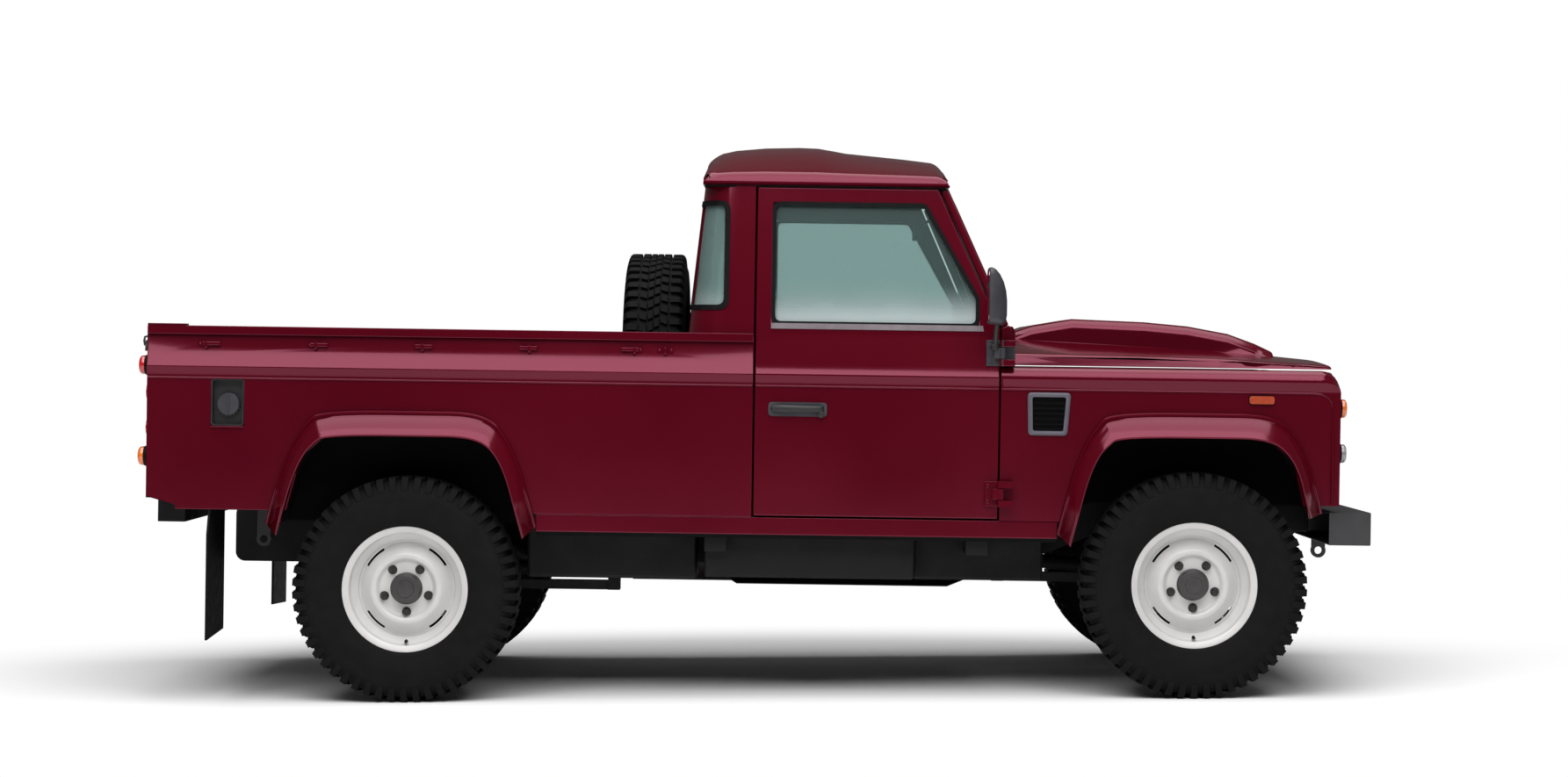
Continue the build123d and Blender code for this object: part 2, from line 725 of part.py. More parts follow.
def cab_back():
    """Rear wall of the cab with its rounded corners and quarter panels, windows cut."""
    front = DOOR_REAR - SHUT_GAP
    low = RIM_TOP
    inside = cab_shell(CAB_WALL)
    with BuildPart() as back:
        add(cab_shell(0))
        add(inside, mode=Mode.SUBTRACT)
        block(front, 300, -900, 900, low - 50, DOOR_TOP + 100, mode=Mode.SUBTRACT)
        for cutter in cab_window_cutters():
            add(cutter, mode=Mode.SUBTRACT)
        block(CAB_REAR, CAB_REAR + CAB_WALL, -TUB_INNER, TUB_INNER, SILL_TOP, low)
        block(CAB_REAR, CAB_REAR + CAB_WALL, -FLOOR_HALF, FLOOR_HALF, CAB_FLOOR - SKIN, SILL_TOP)
    save(back.part, "cab_back")
    with BuildPart() as pane:
        add(cab_shell(9))
        add(cab_shell(9 + GLASS), mode=Mode.SUBTRACT)
        with BuildPart(mode=Mode.PRIVATE) as keep:
            for cutter in cab_window_cutters():
                add(cutter)
        add(keep.part, mode=Mode.INTERSECT)
    return pane.part


# Roof sections along the cab: x, side height, crown height
ROOF_SECTIONS = [
    (-353, 1850, 1884),
    (-346, 1860, 1938),
    (-328, 1866, 1964),
    (-295, 1869, 1981),
    (-245, 1872, 1993),
    (-135, 1874, 2004),
    (-10, 1874, 2008),
    (60, 1874, 2006),
    (115, 1873, 1997),
    (165, 1872, 1988),
    (240, 1871, 1981),
    (380, 1869, 1968),
    (480, 1867, 1956),
    (508, 1862, 1944),
    (524, 1850, 1900),
]
ROOF_HALF = EAVES_HALF + 3
ROOF_SKIN = 16


def roof_volume(inset, low):
    """Domed roof volume, lofted through straight-sided sections with an arched top."""
    with BuildPart() as dome:
        for x, side_z, crown_z in ROOF_SECTIONS:
            half = ROOF_HALF - inset
            top = half - 12
            place = x * (1 - 2.2 * inset / 900)
            with BuildSketch(Plane.YZ.offset(place)):
                with BuildLine():
                    Line((-half, low), (half, low))
                    Line((half, low), (top, side_z - inset))
                    ThreePointArc((top, side_z - inset), (0, crown_z - inset), (-top, side_z - inset))
                    Line((-top, side_z - inset), (-half, low))
                make_face()
        loft(ruled=True)
    return dome.part


def cab_roof():
    low = DOOR_TOP + SHUT_GAP
    with BuildPart() as roof:
        add(roof_volume(0, low))
        add(roof_volume(ROOF_SKIN, low - 10), mode=Mode.SUBTRACT)
    save(roof.part, "cab_roof")


def cab_glass(screen, rear):
    with BuildPart() as glass:
        add(screen)
        add(rear)
    save(glass.part, "cab_glass")


def front_wings():
    """Outer wing panels with their tops and lamp faces, the arch open."""
    wall = 25
    inner = BONNET_HALF - 20
    with BuildPart() as wing:
        outer = [(half, z) for z, half in SIDE_SECTION[:3]]
        outer += [(WAIST_HALF - 8, WING_TOP - 16), (WAIST_HALF - 26, WING_TOP), (inner, WING_TOP)]
        under = [(inner, WING_TOP - 20), (WAIST_HALF - 50, WING_TOP - 20), (LOWER_HALF - wall, WING_TOP - 46)]
        under += [(LOWER_HALF - wall, SILL_TOP)]
        along(outer + under, WING_REAR, WING_FRONT)
        block(WING_FRONT - wall, WING_FRONT, PANEL_HALF, LOWER_HALF - 20, SILL_TOP, WING_TOP - 8)
        block(WING_REAR, WING_FRONT - 5, inner - 30, inner - 10, 960, WING_TOP - 8)
        block(WING_REAR, WING_FRONT - 5, inner - 30, inner + 12, WING_TOP - 20, WING_TOP - 8)
        across(opening_outline(*ARCHES[0]), 0, 1000, mode=Mode.SUBTRACT)
        block(AXLE_X + 300, WING_FRONT + 50, 0, 1000, 500, NOSE_LOW, mode=Mode.SUBTRACT)
        with BuildPart(mode=Mode.PRIVATE) as lugs:
            hinge_lugs(HINGE_HEIGHTS[1], LOWER_HALF - 12)
        add(lugs.part)
        mirror(about=Plane.XZ)
    save(wing.part, "front_wings")


def arch_flares():
    """Deep eyebrows over all four wheels, standing off the body sides."""
    with BuildPart() as flares:
        for wheel_x, top in ARCHES:
            with BuildPart(mode=Mode.PRIVATE) as brow:
                across(flare_outline(wheel_x, top), LOWER_HALF - 20, FLARE_SHOULDER)
                for face_y, outline in ((FLARE_SHOULDER, flare_outline(wheel_x, top)),
                                        (FLARE_HALF, flare_outline(wheel_x, top, FLARE_LIP, FLARE_LIP))):
                    with BuildSketch(Plane.XZ.offset(-face_y)):
                        with BuildLine():
                            Polyline(*outline, close=True)
                        make_face()
                loft(ruled=True)
                side = [(half, z) for z, half in SIDE_SECTION]
                low_corner = [(0, ARCH_FOOT - 20), (side[0][0], ARCH_FOOT - 20)]
                along(low_corner + side + [(0, RAIL_LOW)], wheel_x - 600, wheel_x + 600, mode=Mode.SUBTRACT)
                across(opening_outline(wheel_x, top), 0, 1000, mode=Mode.SUBTRACT)
            add(brow.part)
        block(AXLE_X + 300, WING_FRONT + 50, 0, 1000, 500, NOSE_LOW, mode=Mode.SUBTRACT)
        mirror(about=Plane.XZ)
    save(flares.part, "arch_flares")


GRILLE_HALF = 400
GRILLE_LOW = 760
GRILLE_HIGH = 1120
PANEL_HALF = 430
PANEL_LOW = 696


def front_panel():
    """Radiator panel between the wings, with the grille opening."""
    with BuildPart() as panel:
        block(WING_FRONT - 25, WING_FRONT, -PANEL_HALF, PANEL_HALF, PANEL_LOW, WING_TOP - 8)
        block(WING_FRONT - 40, WING_FRONT + 10, -GRILLE_HALF, GRILLE_HALF, GRILLE_LOW, GRILLE_HIGH, mode=Mode.SUBTRACT)
        for side in (1, -1):
            y0, y1 = sorted((side * RAIL_INNER, side * RAIL_OUTER))
            block(RAIL_LINE[0][0], WING_FRONT - 25, y0, y1, PANEL_LOW, PANEL_LOW + 30)
    save(panel.part, "front_panel")


GRILLE_BARS = 7


def grille():
    """Framed grille of horizontal bars."""
    with BuildPart() as bars:
        frame = 22
        front = WING_FRONT + 12
        block(WING_FRONT - 10, front, -GRILLE_HALF, GRILLE_HALF, GRILLE_LOW, GRILLE_HIGH)
        block(WING_FRONT - 20, front + 10, -GRILLE_HALF + frame, GRILLE_HALF - frame,
              GRILLE_LOW + frame, GRILLE_HIGH - frame, mode=Mode.SUBTRACT)
        step = (GRILLE_HIGH - GRILLE_LOW - 2 * frame) / (GRILLE_BARS + 1)
        for number in range(GRILLE_BARS):
            z = GRILLE_LOW + frame + step * (number + 1)
            block(WING_FRONT - 6, front - 4, -GRILLE_HALF + frame - 2, GRILLE_HALF - frame + 2, z - 7, z + 7)
    save(bars.part, "grille")


# Small round lamps on the front: y, z
FRONT_LAMPS = [(LOWER_HALF - 61, 1060), (LOWER_HALF - 61, 900)]
REPEATER_X = 1636
REPEATER_Z = (1070, 1104)
REAR_LAMP_Y = LOWER_HALF - 39
HEADLAMP_Y = 600
HEADLAMP_Z = 975
HEADLAMP_RADIUS = 89
LAMP_RADIUS = 37
# Round lamps on the rear corner posts: z
REAR_LAMPS = [1155, 832]


def lamps():
    """Head, side, indicator, tail and stop lamps."""
    with BuildPart() as front:
        rod((WING_FRONT, HEADLAMP_Y, HEADLAMP_Z), (WING_FRONT + 24, HEADLAMP_Y, HEADLAMP_Z), HEADLAMP_RADIUS)
        fillet(front.edges().filter_by(GeomType.CIRCLE).sort_by(Axis.X)[-1], 18)
        for y, z in FRONT_LAMPS:
            rod((WING_FRONT, y, z), (WING_FRONT + 30, y, z), LAMP_RADIUS)
        side_plate(REPEATER_X - 47, REPEATER_X + 47, *REPEATER_Z, 14)
        mirror(about=Plane.XZ)
    save(front.part, "front_lamps")
    with BuildPart() as rear:
        for z in REAR_LAMPS:
            rod((TUB_REAR - 32, REAR_LAMP_Y, z), (TUB_REAR, REAR_LAMP_Y, z), LAMP_RADIUS - 3)
        mirror(about=Plane.XZ)
    save(rear.part, "rear_lamps")


# Tailgate hinges: fixed lugs each side of the gate's own knuckles
GATE_KNUCKLES = [-500, 500]
HINGE_LUGS = [y + offset for y in GATE_KNUCKLES for offset in (-46, 46)]
GATE_PIN_Z = BED_FLOOR - 20
TAILGATE_WALL = 40
WHEEL_BOX_TOP = 980
WHEEL_BOX_HALF = 470
TUB_INNER = LOWER_HALF - TUB_WALL
WHEEL_BOX_INNER = 570
SPARE_X = -540
SPARE_ROOM = 15
STRIP_DEPTH = 4
BEARER_LOW = BED_FLOOR - 30
BEARERS = [-560, -900, -1920, -2160]


def load_bed():
    """Bed floor with its wheel boxes, resting on the rails, a little lower under the spare wheel."""
    rear_x, _ = ARCHES[1]
    x0 = rear_x - WHEEL_BOX_HALF
    x1 = rear_x + WHEEL_BOX_HALF
    skin = 12
    with BuildPart() as bed:
        bed_rear = TUB_REAR + TAILGATE_WALL + SHUT_GAP
        block(bed_rear, TUB_FRONT, -TUB_INNER, TUB_INNER, BED_FLOOR - skin, BED_FLOOR)
        strip_rear = SPARE_X - TYRE_HALF - SPARE_ROOM
        block(strip_rear, TUB_FRONT + 5, -TUB_INNER - 5, TUB_INNER + 5, BED_FLOOR - STRIP_DEPTH, BED_FLOOR + 5,
              mode=Mode.SUBTRACT)
        for y in HINGE_LUGS:
            block(TUB_REAR, -2150, y - 14, y + 14, BEARER_LOW, BED_FLOOR - skin)
            rod((TUB_REAR, y - 14, GATE_PIN_Z), (TUB_REAR, y + 14, GATE_PIN_Z), 11)
        rod((TUB_REAR, -700, GATE_PIN_Z), (TUB_REAR, 700, GATE_PIN_Z), 6.05, mode=Mode.SUBTRACT)
        for bearer_x in BEARERS:
            block(bearer_x, bearer_x + 50, -TUB_INNER + 4, TUB_INNER - 4, BEARER_LOW, BED_FLOOR - skin)
        for side in (1, -1):
            y0, y1 = sorted((side * WHEEL_BOX_INNER, side * TUB_INNER))
            block(x0, x1, y0, y1, BED_FLOOR - skin, WHEEL_BOX_TOP)
            y0, y1 = sorted((side * (WHEEL_BOX_INNER + skin), side * (TUB_INNER + 30)))
            block(x0 + skin, x1 - skin, y0, y1, 700, WHEEL_BOX_TOP - skin, mode=Mode.SUBTRACT)
    save(bed.part, "load_bed")


# Fuel filler pocket in the right side: x0, x1, z0, z1
FILLER_POCKET = (-2079, -1964, 944, 1110)
HOOK_PLACES = [-2080, -1700, -1330, -960, -600]
POST = 75


def tub_sides():
    """Tub side walls with their rim, corner posts, rope hooks and the front wall."""
    with BuildPart() as tub:
        side_wall(TUB_REAR, DOOR_REAR - SHUT_GAP, TUB_WALL, low=SILL_TOP)
        rim = [(TUB_INNER, RAIL_LOW), (LOWER_HALF + 2, RAIL_LOW), (LOWER_HALF + 2, RIM_TOP), (TUB_INNER, RIM_TOP)]
        along(rim, TUB_REAR, DOOR_REAR - SHUT_GAP)
        under = [(TUB_REAR - 5, 691), (TUB_REAR + 104, 662), (TUB_REAR + 104, 560), (TUB_REAR - 5, 560)]
        across(under, 600, 900, mode=Mode.SUBTRACT)
        across(opening_outline(*ARCHES[1]), 0, 1000, mode=Mode.SUBTRACT)
        block(TUB_REAR, TUB_REAR + 30, LOWER_HALF - 76, TUB_INNER, BED_FLOOR, RIM_TOP)
        block(TUB_FRONT, TUB_FRONT + 10, 0, TUB_INNER, BEARER_LOW, RIM_TOP)
        for x in HOOK_PLACES:
            with Locations((x, RAIL_HALF + 8, RAIL_LOW - 32)):
                Box(60, 24, 14)
        mirror(about=Plane.XZ)
        x0, x1, z0, z1 = FILLER_POCKET
        block(x0, x1, -LOWER_HALF - 50, -LOWER_HALF + 32, z0, z1, mode=Mode.SUBTRACT)
        carrier_z = BED_FLOOR + TYRE_RADIUS
        rod((TUB_FRONT, 0, carrier_z), (SPARE_X - DISC_FACE + DISC_METAL + 0.3, 0, carrier_z), 60)
    save(tub.part, "tub_sides")
    with BuildPart() as filler:
        centre_x = (x0 + x1) / 2
        centre_z = (z0 + z1) / 2
        rod((centre_x, -LOWER_HALF + 32, centre_z), (centre_x, -LOWER_HALF + 8, centre_z), 40)
    save(filler.part, "fuel_filler")


TAILGATE_HALF = LOWER_HALF - 76 - 5
TAILGATE_LOW = BED_FLOOR - 4


def tailgate():
    """Bottom-hinged tailgate with pressed ribs and a rolled top."""
    with BuildPart() as gate:
        block(TUB_REAR, TUB_REAR + TAILGATE_WALL, -TAILGATE_HALF, TAILGATE_HALF, TAILGATE_LOW, RIM_TOP - 4)
        with BuildSketch(Plane.YZ.offset(TUB_REAR)):
            with GridLocations(0, 92, 1, 4):
                with Locations((0, (TAILGATE_LOW + RIM_TOP) / 2)):
                    SlotOverall(2 * TAILGATE_HALF - 90, 44)
        extrude(amount=8, mode=Mode.SUBTRACT)
        for y in GATE_KNUCKLES:
            rod((TUB_REAR, y - 30, GATE_PIN_Z), (TUB_REAR, y + 30, GATE_PIN_Z), 11)
            rod((TUB_REAR, y - 58, GATE_PIN_Z), (TUB_REAR, y + 58, GATE_PIN_Z), 6)
            block(TUB_REAR - 8, TUB_REAR + 14, y - 30, y + 30, GATE_PIN_Z, TAILGATE_LOW + 6)
    save(gate.part, "tailgate")


# Raised middle of the bonnet: x, top z
BULGE_LINE = [
    (BONNET_REAR + 8, 1316),
    (860, 1345),
    (1010, 1372),
    (1280, 1364),
    (1440, 1351),
    (1590, 1325),
    (1690, 1290),
    (1760, 1258),
]
BULGE_FOOT = 1215
BULGE_SLOPE = 26


def bonnet_volume(drop):
    """Bonnet solid: crowned panel with the raised middle; drop shrinks it for the underside."""
    half = BONNET_HALF - drop
    rear = BONNET_REAR + drop
    front = WING_FRONT - 5 - drop
    low = WING_TOP + SHUT_GAP - (2 * drop if drop else 0)
    with BuildPart() as solid:
        for x, edge_z, crown_z in ((rear, 1240, 1312), (1500, 1232, 1272), (front, 1212, 1234)):
            edge = edge_z - drop
            with BuildSketch(Plane.YZ.offset(x)):
                with BuildLine():
                    Line((-half, low), (half, low))
                    Line((half, low), (half - 10, edge))
                    ThreePointArc((half - 10, edge), (0, crown_z - drop), (-half + 10, edge))
                    Line((-half + 10, edge), (-half, low))
                make_face()
        loft(ruled=True)
    with BuildPart() as bulge:
        for x, top in BULGE_LINE:
            place = max(x, BONNET_REAR + 8 + drop)
            high = top - drop
            wide = BULGE_HALF - drop
            flat = wide - BULGE_SLOPE
            with BuildSketch(Plane.YZ.offset(place)):
                with BuildLine():
                    Polyline((-wide, BULGE_FOOT), (wide, BULGE_FOOT), (wide, high - BULGE_SLOPE),
                             (flat, high), (-flat, high), (-wide, high - BULGE_SLOPE), close=True)
                make_face()
        loft(ruled=True)
    return solid.part + bulge.part


BULGE_HALF = 318
BONNET_SKIN = 16
BONNET_PIN = (BONNET_REAR + 4, SCUTTLE_TOP + 12)
BONNET_HINGE_Y = 450


def bonnet():
    """Opening bonnet, a skin with turned-down edges."""
    with BuildPart() as lid:
        add(bonnet_volume(0))
        add(bonnet_volume(BONNET_SKIN), mode=Mode.SUBTRACT)
        pin_x, pin_z = BONNET_PIN
        for y in (-BONNET_HINGE_Y, BONNET_HINGE_Y):
            rod((pin_x, y - 18, pin_z), (pin_x, y + 18, pin_z), 9)
            rod((pin_x, y - 38, pin_z), (pin_x, y + 38, pin_z), 5)
            block(pin_x - 2, pin_x + 18, y - 18, y + 18, 1262, pin_z)
    save(lid.part, "bonnet")


# Door outline and window, side view
DOOR_PILLAR = SCREEN_FRAME / cos(radians(24.2)) + SHUT_GAP


def pillar_x(z):
    """Front edge of the door along the windscreen pillar."""
    (foot_x, foot_z), (head_x, head_z) = SCREEN_FOOT, SCREEN_HEAD
    return foot_x + (z - foot_z) * (head_x - foot_x) / (head_z - foot_z) - DOOR_PILLAR


WINDOW_LOW = 1333
WINDOW_HIGH = 1767
WINDOW_REAR = DOOR_REAR + 58
WINDOW = [
    (WINDOW_REAR, WINDOW_LOW),
    (633, WINDOW_LOW),
    (633, 1433),
    (442, WINDOW_HIGH),
    (WINDOW_REAR, WINDOW_HIGH),
]
HINGE_X = WING_REAR + 2
HINGE_Y = LOWER_HALF + 28
MIRROR_CENTRE = (HINGE_Y + 91, 1440)
HINGE_HEIGHTS = [1240, 742]
PIN_RADIUS = 8


def door_slab(outer_inset, wall):
    """Door thickness between its outer face and the cabin."""
    top = (EAVES_HALF - outer_inset, DOOR_TOP)
    belt = (BELT_HALF - outer_inset, BELT)
    outer = [(half - outer_inset, z) for z, half in SIDE_SECTION]
    outer[0] = (outer[0][0], SILL_TOP + SHUT_GAP)
    inner = [(top[0] - 30, DOOR_TOP), (belt[0] - 30, BELT), (belt[0] - wall + 20, BELT - 60)]
    inner += [(LOWER_HALF - outer_inset - wall, SILL_TOP + SHUT_GAP)]
    return outer + [belt, top] + inner


def doors():
    """Each door with its window frame, its glass and its black fittings, the mirror among them."""
    outline = [
        (DOOR_REAR, SILL_TOP + SHUT_GAP),
        (DOOR_FRONT, SILL_TOP + SHUT_GAP),
        (DOOR_FRONT, BELT - 10),
        (pillar_x(BELT + 26), BELT + 26),
        (pillar_x(DOOR_TOP), DOOR_TOP),
        (DOOR_REAR, DOOR_TOP),
    ]
    with BuildPart() as door:
        along(door_slab(0, DOOR_WALL), DOOR_REAR, DOOR_FRONT + 20)
        with BuildPart(mode=Mode.PRIVATE) as shape:
            across(outline, 0, 1000)
        add(shape.part, mode=Mode.INTERSECT)
        across(WINDOW, 0, 1000, mode=Mode.SUBTRACT)
    with BuildPart() as glass:
        lean_in = (BELT_HALF - EAVES_HALF) / (DOOR_TOP - BELT)
        low = BELT_HALF - (WINDOW_LOW - BELT) * lean_in - 12
        high = BELT_HALF - (WINDOW_HIGH - BELT) * lean_in - 12
        pane = [(low, WINDOW_LOW), (high, WINDOW_HIGH), (high - GLASS, WINDOW_HIGH), (low - GLASS, WINDOW_LOW)]
        along(pane, WINDOW_REAR, 640)
        with BuildPart(mode=Mode.PRIVATE) as shape:
            across(WINDOW, 0, 1000)
        add(shape.part, mode=Mode.INTERSECT)
    with BuildPart() as fittings:
        block(-108, 99, LOWER_HALF - 2, LOWER_HALF + 26, 1006, 1056)
        block(-80, 70, LOWER_HALF - 2, LOWER_HALF + 14, 1014, 1048, mode=Mode.SUBTRACT)
        for z in HINGE_HEIGHTS:
            block(HINGE_X - 56, HINGE_X - 7, LOWER_HALF - 22, HINGE_Y + 8, z - 20, z + 20)
            rod((HINGE_X, HINGE_Y, z - 20), (HINGE_X, HINGE_Y, z + 20), 11)
            rod((HINGE_X, HINGE_Y, z - 46), (HINGE_X, HINGE_Y, z + 46), PIN_RADIUS)
        rod((HINGE_X - 30, HINGE_Y - 2, HINGE_HEIGHTS[0] + 15), (HINGE_X - 24, HINGE_Y + 56, 1360), 9)
        with BuildSketch(Plane.YZ.offset(HINGE_X - 60)):
            with Locations(MIRROR_CENTRE):
                RectangleRounded(140, 200, 30)
        extrude(amount=66, taper=12)
        add(door.part, mode=Mode.SUBTRACT)
    for side, place in ((1, "left"), (-1, "right")):
        for kind, piece in (("door", door.part), ("door_glass", glass.part), ("door_fittings", fittings.part)):
            if side < 0:
                piece = mirror(piece, about=Plane.XZ)
            save(piece, f"{kind}_{place}")


SEAT_Y = 400


def seats():
    """Two seats and a middle seat on the seat box."""
    with BuildPart() as chairs:
        for y, width in ((SEAT_Y, 470), (-SEAT_Y, 470), (0, 270)):
            half = width / 2
            block(-235, 180, y - half, y + half, 850, 950)
            squab = [(-330, 850), (-237, 850), (-237, 960), (-275, 1390), (-345, 1390)]
            across(squab, y - half, y + half)
    save(chairs.part, "seats")


def fascia():
    """Fascia across the cab with its binnacle and the steering column."""
    with BuildPart() as dash:
        outline = [(560, 1060), (WING_REAR - 14, 1000), (WING_REAR - 14, 1240), (600, 1240), (560, 1200)]
        across(outline, -EAVES_HALF - 5, EAVES_HALF + 5)
        block(520, 640, -SEAT_Y - 150, -SEAT_Y + 150, 1200, 1290)
        start = Vector(*WHEEL_HUB) + Vector(*COLUMN_DIR) * 40
        end = Vector(*WHEEL_HUB) + Vector(*COLUMN_DIR) * 520
        rod(tuple(start), tuple(end), 28)
        block(WING_REAR - 14, 900, -800, 800, 700, 1400, mode=Mode.SUBTRACT)
    save(dash.part, "fascia")


COLUMN_ANGLE = 38
COLUMN_DIR = (cos(radians(COLUMN_ANGLE)), 0, -sin(radians(COLUMN_ANGLE)))
WHEEL_HUB = (330, -SEAT_Y, 1200)
STEERING_RADIUS = 200


def steering_wheel():
    """Rim, three spokes and boss, on the column."""
    face = Plane(origin=WHEEL_HUB, x_dir=(0, 1, 0), z_dir=COLUMN_DIR)
    with BuildPart() as wheel_part:
        with BuildSketch(Plane(origin=WHEEL_HUB, x_dir=(0, 1, 0), z_dir=(-COLUMN_DIR[2], 0, COLUMN_DIR[0]))):
            with Locations((STEERING_RADIUS, 0)):
                Circle(15)
        revolve(axis=Axis(WHEEL_HUB, COLUMN_DIR))
        for angle in (180, 300, 60):
            tip = face.from_local_coords((190 * cos(radians(angle)), 190 * sin(radians(angle)), 0))
            rod(WHEEL_HUB, tuple(tip), 10)
        rod(WHEEL_HUB, tuple(Vector(*WHEEL_HUB) + Vector(*COLUMN_DIR) * 39.7), 34)
    save(wheel_part.part, "steering_wheel")


FLAP_X = -2078


# Lashing eyes under the frame ends: x, height of the seat, drop of the ring
EYES = [(1925, BUMPER_TOP - 118, 30), (-1965, 640, 110)]
RING_RADIUS = 27


def lashing_eyes():
    """Welded eye rings on plates below the frame ends."""
    with BuildPart() as eyes:
        for x, seat, drop in EYES:
            block(x - 25, x + 25, ARM_Y - 6, ARM_Y + 6, seat - drop, seat)
            ring_z = seat - drop - RING_RADIUS / 2
            ring = (x, ARM_Y - 7, ring_z), (x, ARM_Y + 7, ring_z)
            rod(*ring, RING_RADIUS)
            rod(*ring, RING_RADIUS - 13, mode=Mode.SUBTRACT)
        mirror(about=Plane.XZ)
    save(eyes.part, "lashing_eyes")


# Wing vent: x0, x1, z0, z1, forward lean of its front edge
VENT = (808, 962, 951, 1103)
VENT_SLATS = 6


def wing_vents():
    """Framed vents on both wing sides, with slanted slats."""
    x0, x1, z0, z1 = VENT
    with BuildPart() as vents:
        side_plate(x0, x1, z0, z1, 12)
        step = (z1 - z0 - 36) / VENT_SLATS
        for number in range(VENT_SLATS):
            low = z0 + 18 + number * step
            block(x0 + 16, x1 - 16, LOWER_HALF + 2, LOWER_HALF + 30, low + 5, low + step - 5, mode=Mode.SUBTRACT)
        outline = [(x0, z0), (x1 - 12, z0), (x1, z1), (x0 + 22, z1)]
        with BuildPart(mode=Mode.PRIVATE) as shape:
            across(outline, 0, 1000)
        add(shape.part, mode=Mode.INTERSECT)
        mirror(about=Plane.XZ)
    save(vents.part, "wing_vents")


def mud_flaps():
    """Rear flaps behind the rear wheels."""
    with BuildPart() as flaps:
        outer = LOWER_HALF + 24
        flap = [(540, 200), (outer, 185), (outer, 560), (LOWER_HALF - 10, SILL_TOP), (540, SILL_TOP)]
        along(flap, FLAP_X - 8, FLAP_X)
        mirror(about=Plane.XZ)
    save(flaps.part, "mud_flaps")


def spare():
    """Spare wheel upright behind the cab, bolted to a post from the bed floor."""
    spin = Location((SPARE_X, 0, BED_FLOOR + TYRE_RADIUS + 0.3), (0, 0, 90))
    save(wheel(with_hub=False).moved(spin), "spare_wheel")
    save(tyre().moved(spin), "spare_tyre")


if __name__ == "__main__":
    road_wheels()
    front_axle()
    rear_axle()
    knuckles()
    chassis_frame()
    bumper_and_eyes()
    suspension()
    drivetrain()
    tank_and_exhaust()
    sills()
    cab_floor()
    bulkhead()
    cab_glass(windscreen(), cab_back())
    cab_roof()
    front_wings()
    arch_flares()
    front_panel()
    grille()
    lamps()
    load_bed()
    tub_sides()
    tailgate()
    bonnet()
    doors()
    seats()
    fascia()
    steering_wheel()
    mud_flaps()
    lashing_eyes()
    wing_vents()
    spare()
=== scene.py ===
"""Two-door utility pickup in deep red, with its details, finishes, light and camera, in metres."""
from math import cos, pi, radians, sin

import bmesh
import bpy
from mathutils import Matrix, Vector


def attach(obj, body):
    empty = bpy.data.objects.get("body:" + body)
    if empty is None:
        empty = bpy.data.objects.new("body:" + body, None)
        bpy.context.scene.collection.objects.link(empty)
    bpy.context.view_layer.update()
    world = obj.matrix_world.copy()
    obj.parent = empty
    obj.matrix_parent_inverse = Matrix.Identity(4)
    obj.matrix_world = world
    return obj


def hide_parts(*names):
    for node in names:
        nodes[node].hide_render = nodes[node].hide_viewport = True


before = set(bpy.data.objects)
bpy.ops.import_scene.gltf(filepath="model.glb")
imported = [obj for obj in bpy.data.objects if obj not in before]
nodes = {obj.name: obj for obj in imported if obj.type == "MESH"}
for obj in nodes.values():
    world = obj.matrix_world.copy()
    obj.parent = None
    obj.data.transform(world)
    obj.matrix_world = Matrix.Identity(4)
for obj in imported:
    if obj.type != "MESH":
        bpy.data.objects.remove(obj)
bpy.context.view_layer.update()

# The sprung body is drawn level about the middle of the wheelbase and leans 1.1 degrees nose down on its
# springs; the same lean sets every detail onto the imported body.
RAKE = radians(1.1)
BOX_SHIFT = 0.168652
LEAN = Matrix.Translation((BOX_SHIFT, 0, 1)) @ Matrix.Rotation(RAKE, 4, "Y") @ Matrix.Translation((0, 0, -1))
LEVEL = LEAN.inverted()
ON_ROAD = Matrix.Translation((BOX_SHIFT, 0, 0))
AXLE_X = 1.397
WHEEL_Y = 0.743
TYRE_RADIUS = 0.4


def linear(code):
    """Screen colour in hex as the light values of a shader socket."""
    parts = [int(code[place:place + 2], 16) / 255 for place in (1, 3, 5)]
    return [c / 12.92 if c <= 0.04045 else ((c + 0.055) / 1.055) ** 2.4 for c in parts] + [1.0]


def add(tree, kind, settings=None, **inputs):
    """Node of a finish: settings are its own properties, inputs are constants or other nodes' outputs."""
    new = tree.nodes.new(kind)
    for key, value in (settings or {}).items():
        setattr(new, key, value)
    for key, value in inputs.items():
        socket = new.inputs[int(key[1:])] if key[1:].isdigit() else new.inputs[key.replace("_", " ")]
        if isinstance(value, bpy.types.NodeSocket):
            tree.links.new(value, socket)
        else:
            socket.default_value = value
    return new


def finish(name, colours, rough, grain, bump=0.0, metal=0.0, coat=0.0, **more):
    """Surface whose colour and roughness drift between two values, with a fine grain in relief.

    grain is the size of the drift and of the relief in metres.
    """
    material = bpy.data.materials.new(name)
    material.use_nodes = True
    tree = material.node_tree
    shader = tree.nodes["Principled BSDF"]
    place = add(tree, "ShaderNodeTexCoord").outputs["Object"]
    drift = add(tree, "ShaderNodeTexNoise", Vector=place, Scale=1 / grain[0], Detail=4.0).outputs["Fac"]
    spread = add(tree, "ShaderNodeMapRange", Value=drift, i1=0.3, i2=0.7).outputs["Result"]
    mix = add(tree, "ShaderNodeMix", {"data_type": "RGBA"}, i0=spread, i6=linear(colours[0]), i7=linear(colours[1]))
    tree.links.new(mix.outputs[2], shader.inputs["Base Color"])
    dull = add(tree, "ShaderNodeMapRange", Value=drift, i1=0.3, i2=0.7, i3=rough[0], i4=rough[1])
    tree.links.new(dull.outputs["Result"], shader.inputs["Roughness"])
    if bump:
        relief = add(tree, "ShaderNodeTexNoise", Vector=place, Scale=1 / grain[1], Detail=3.0).outputs["Fac"]
        lift = add(tree, "ShaderNodeBump", Strength=0.6, Distance=bump, Height=relief)
        tree.links.new(lift.outputs["Normal"], shader.inputs["Normal"])
    shader.inputs["Metallic"].default_value = metal
    shader.inputs["Coat Weight"].default_value = coat
    shader.inputs["Coat Roughness"].default_value = 0.04
    for key, value in more.items():
        shader.inputs[key.replace("_", " ")].default_value = value
    return material


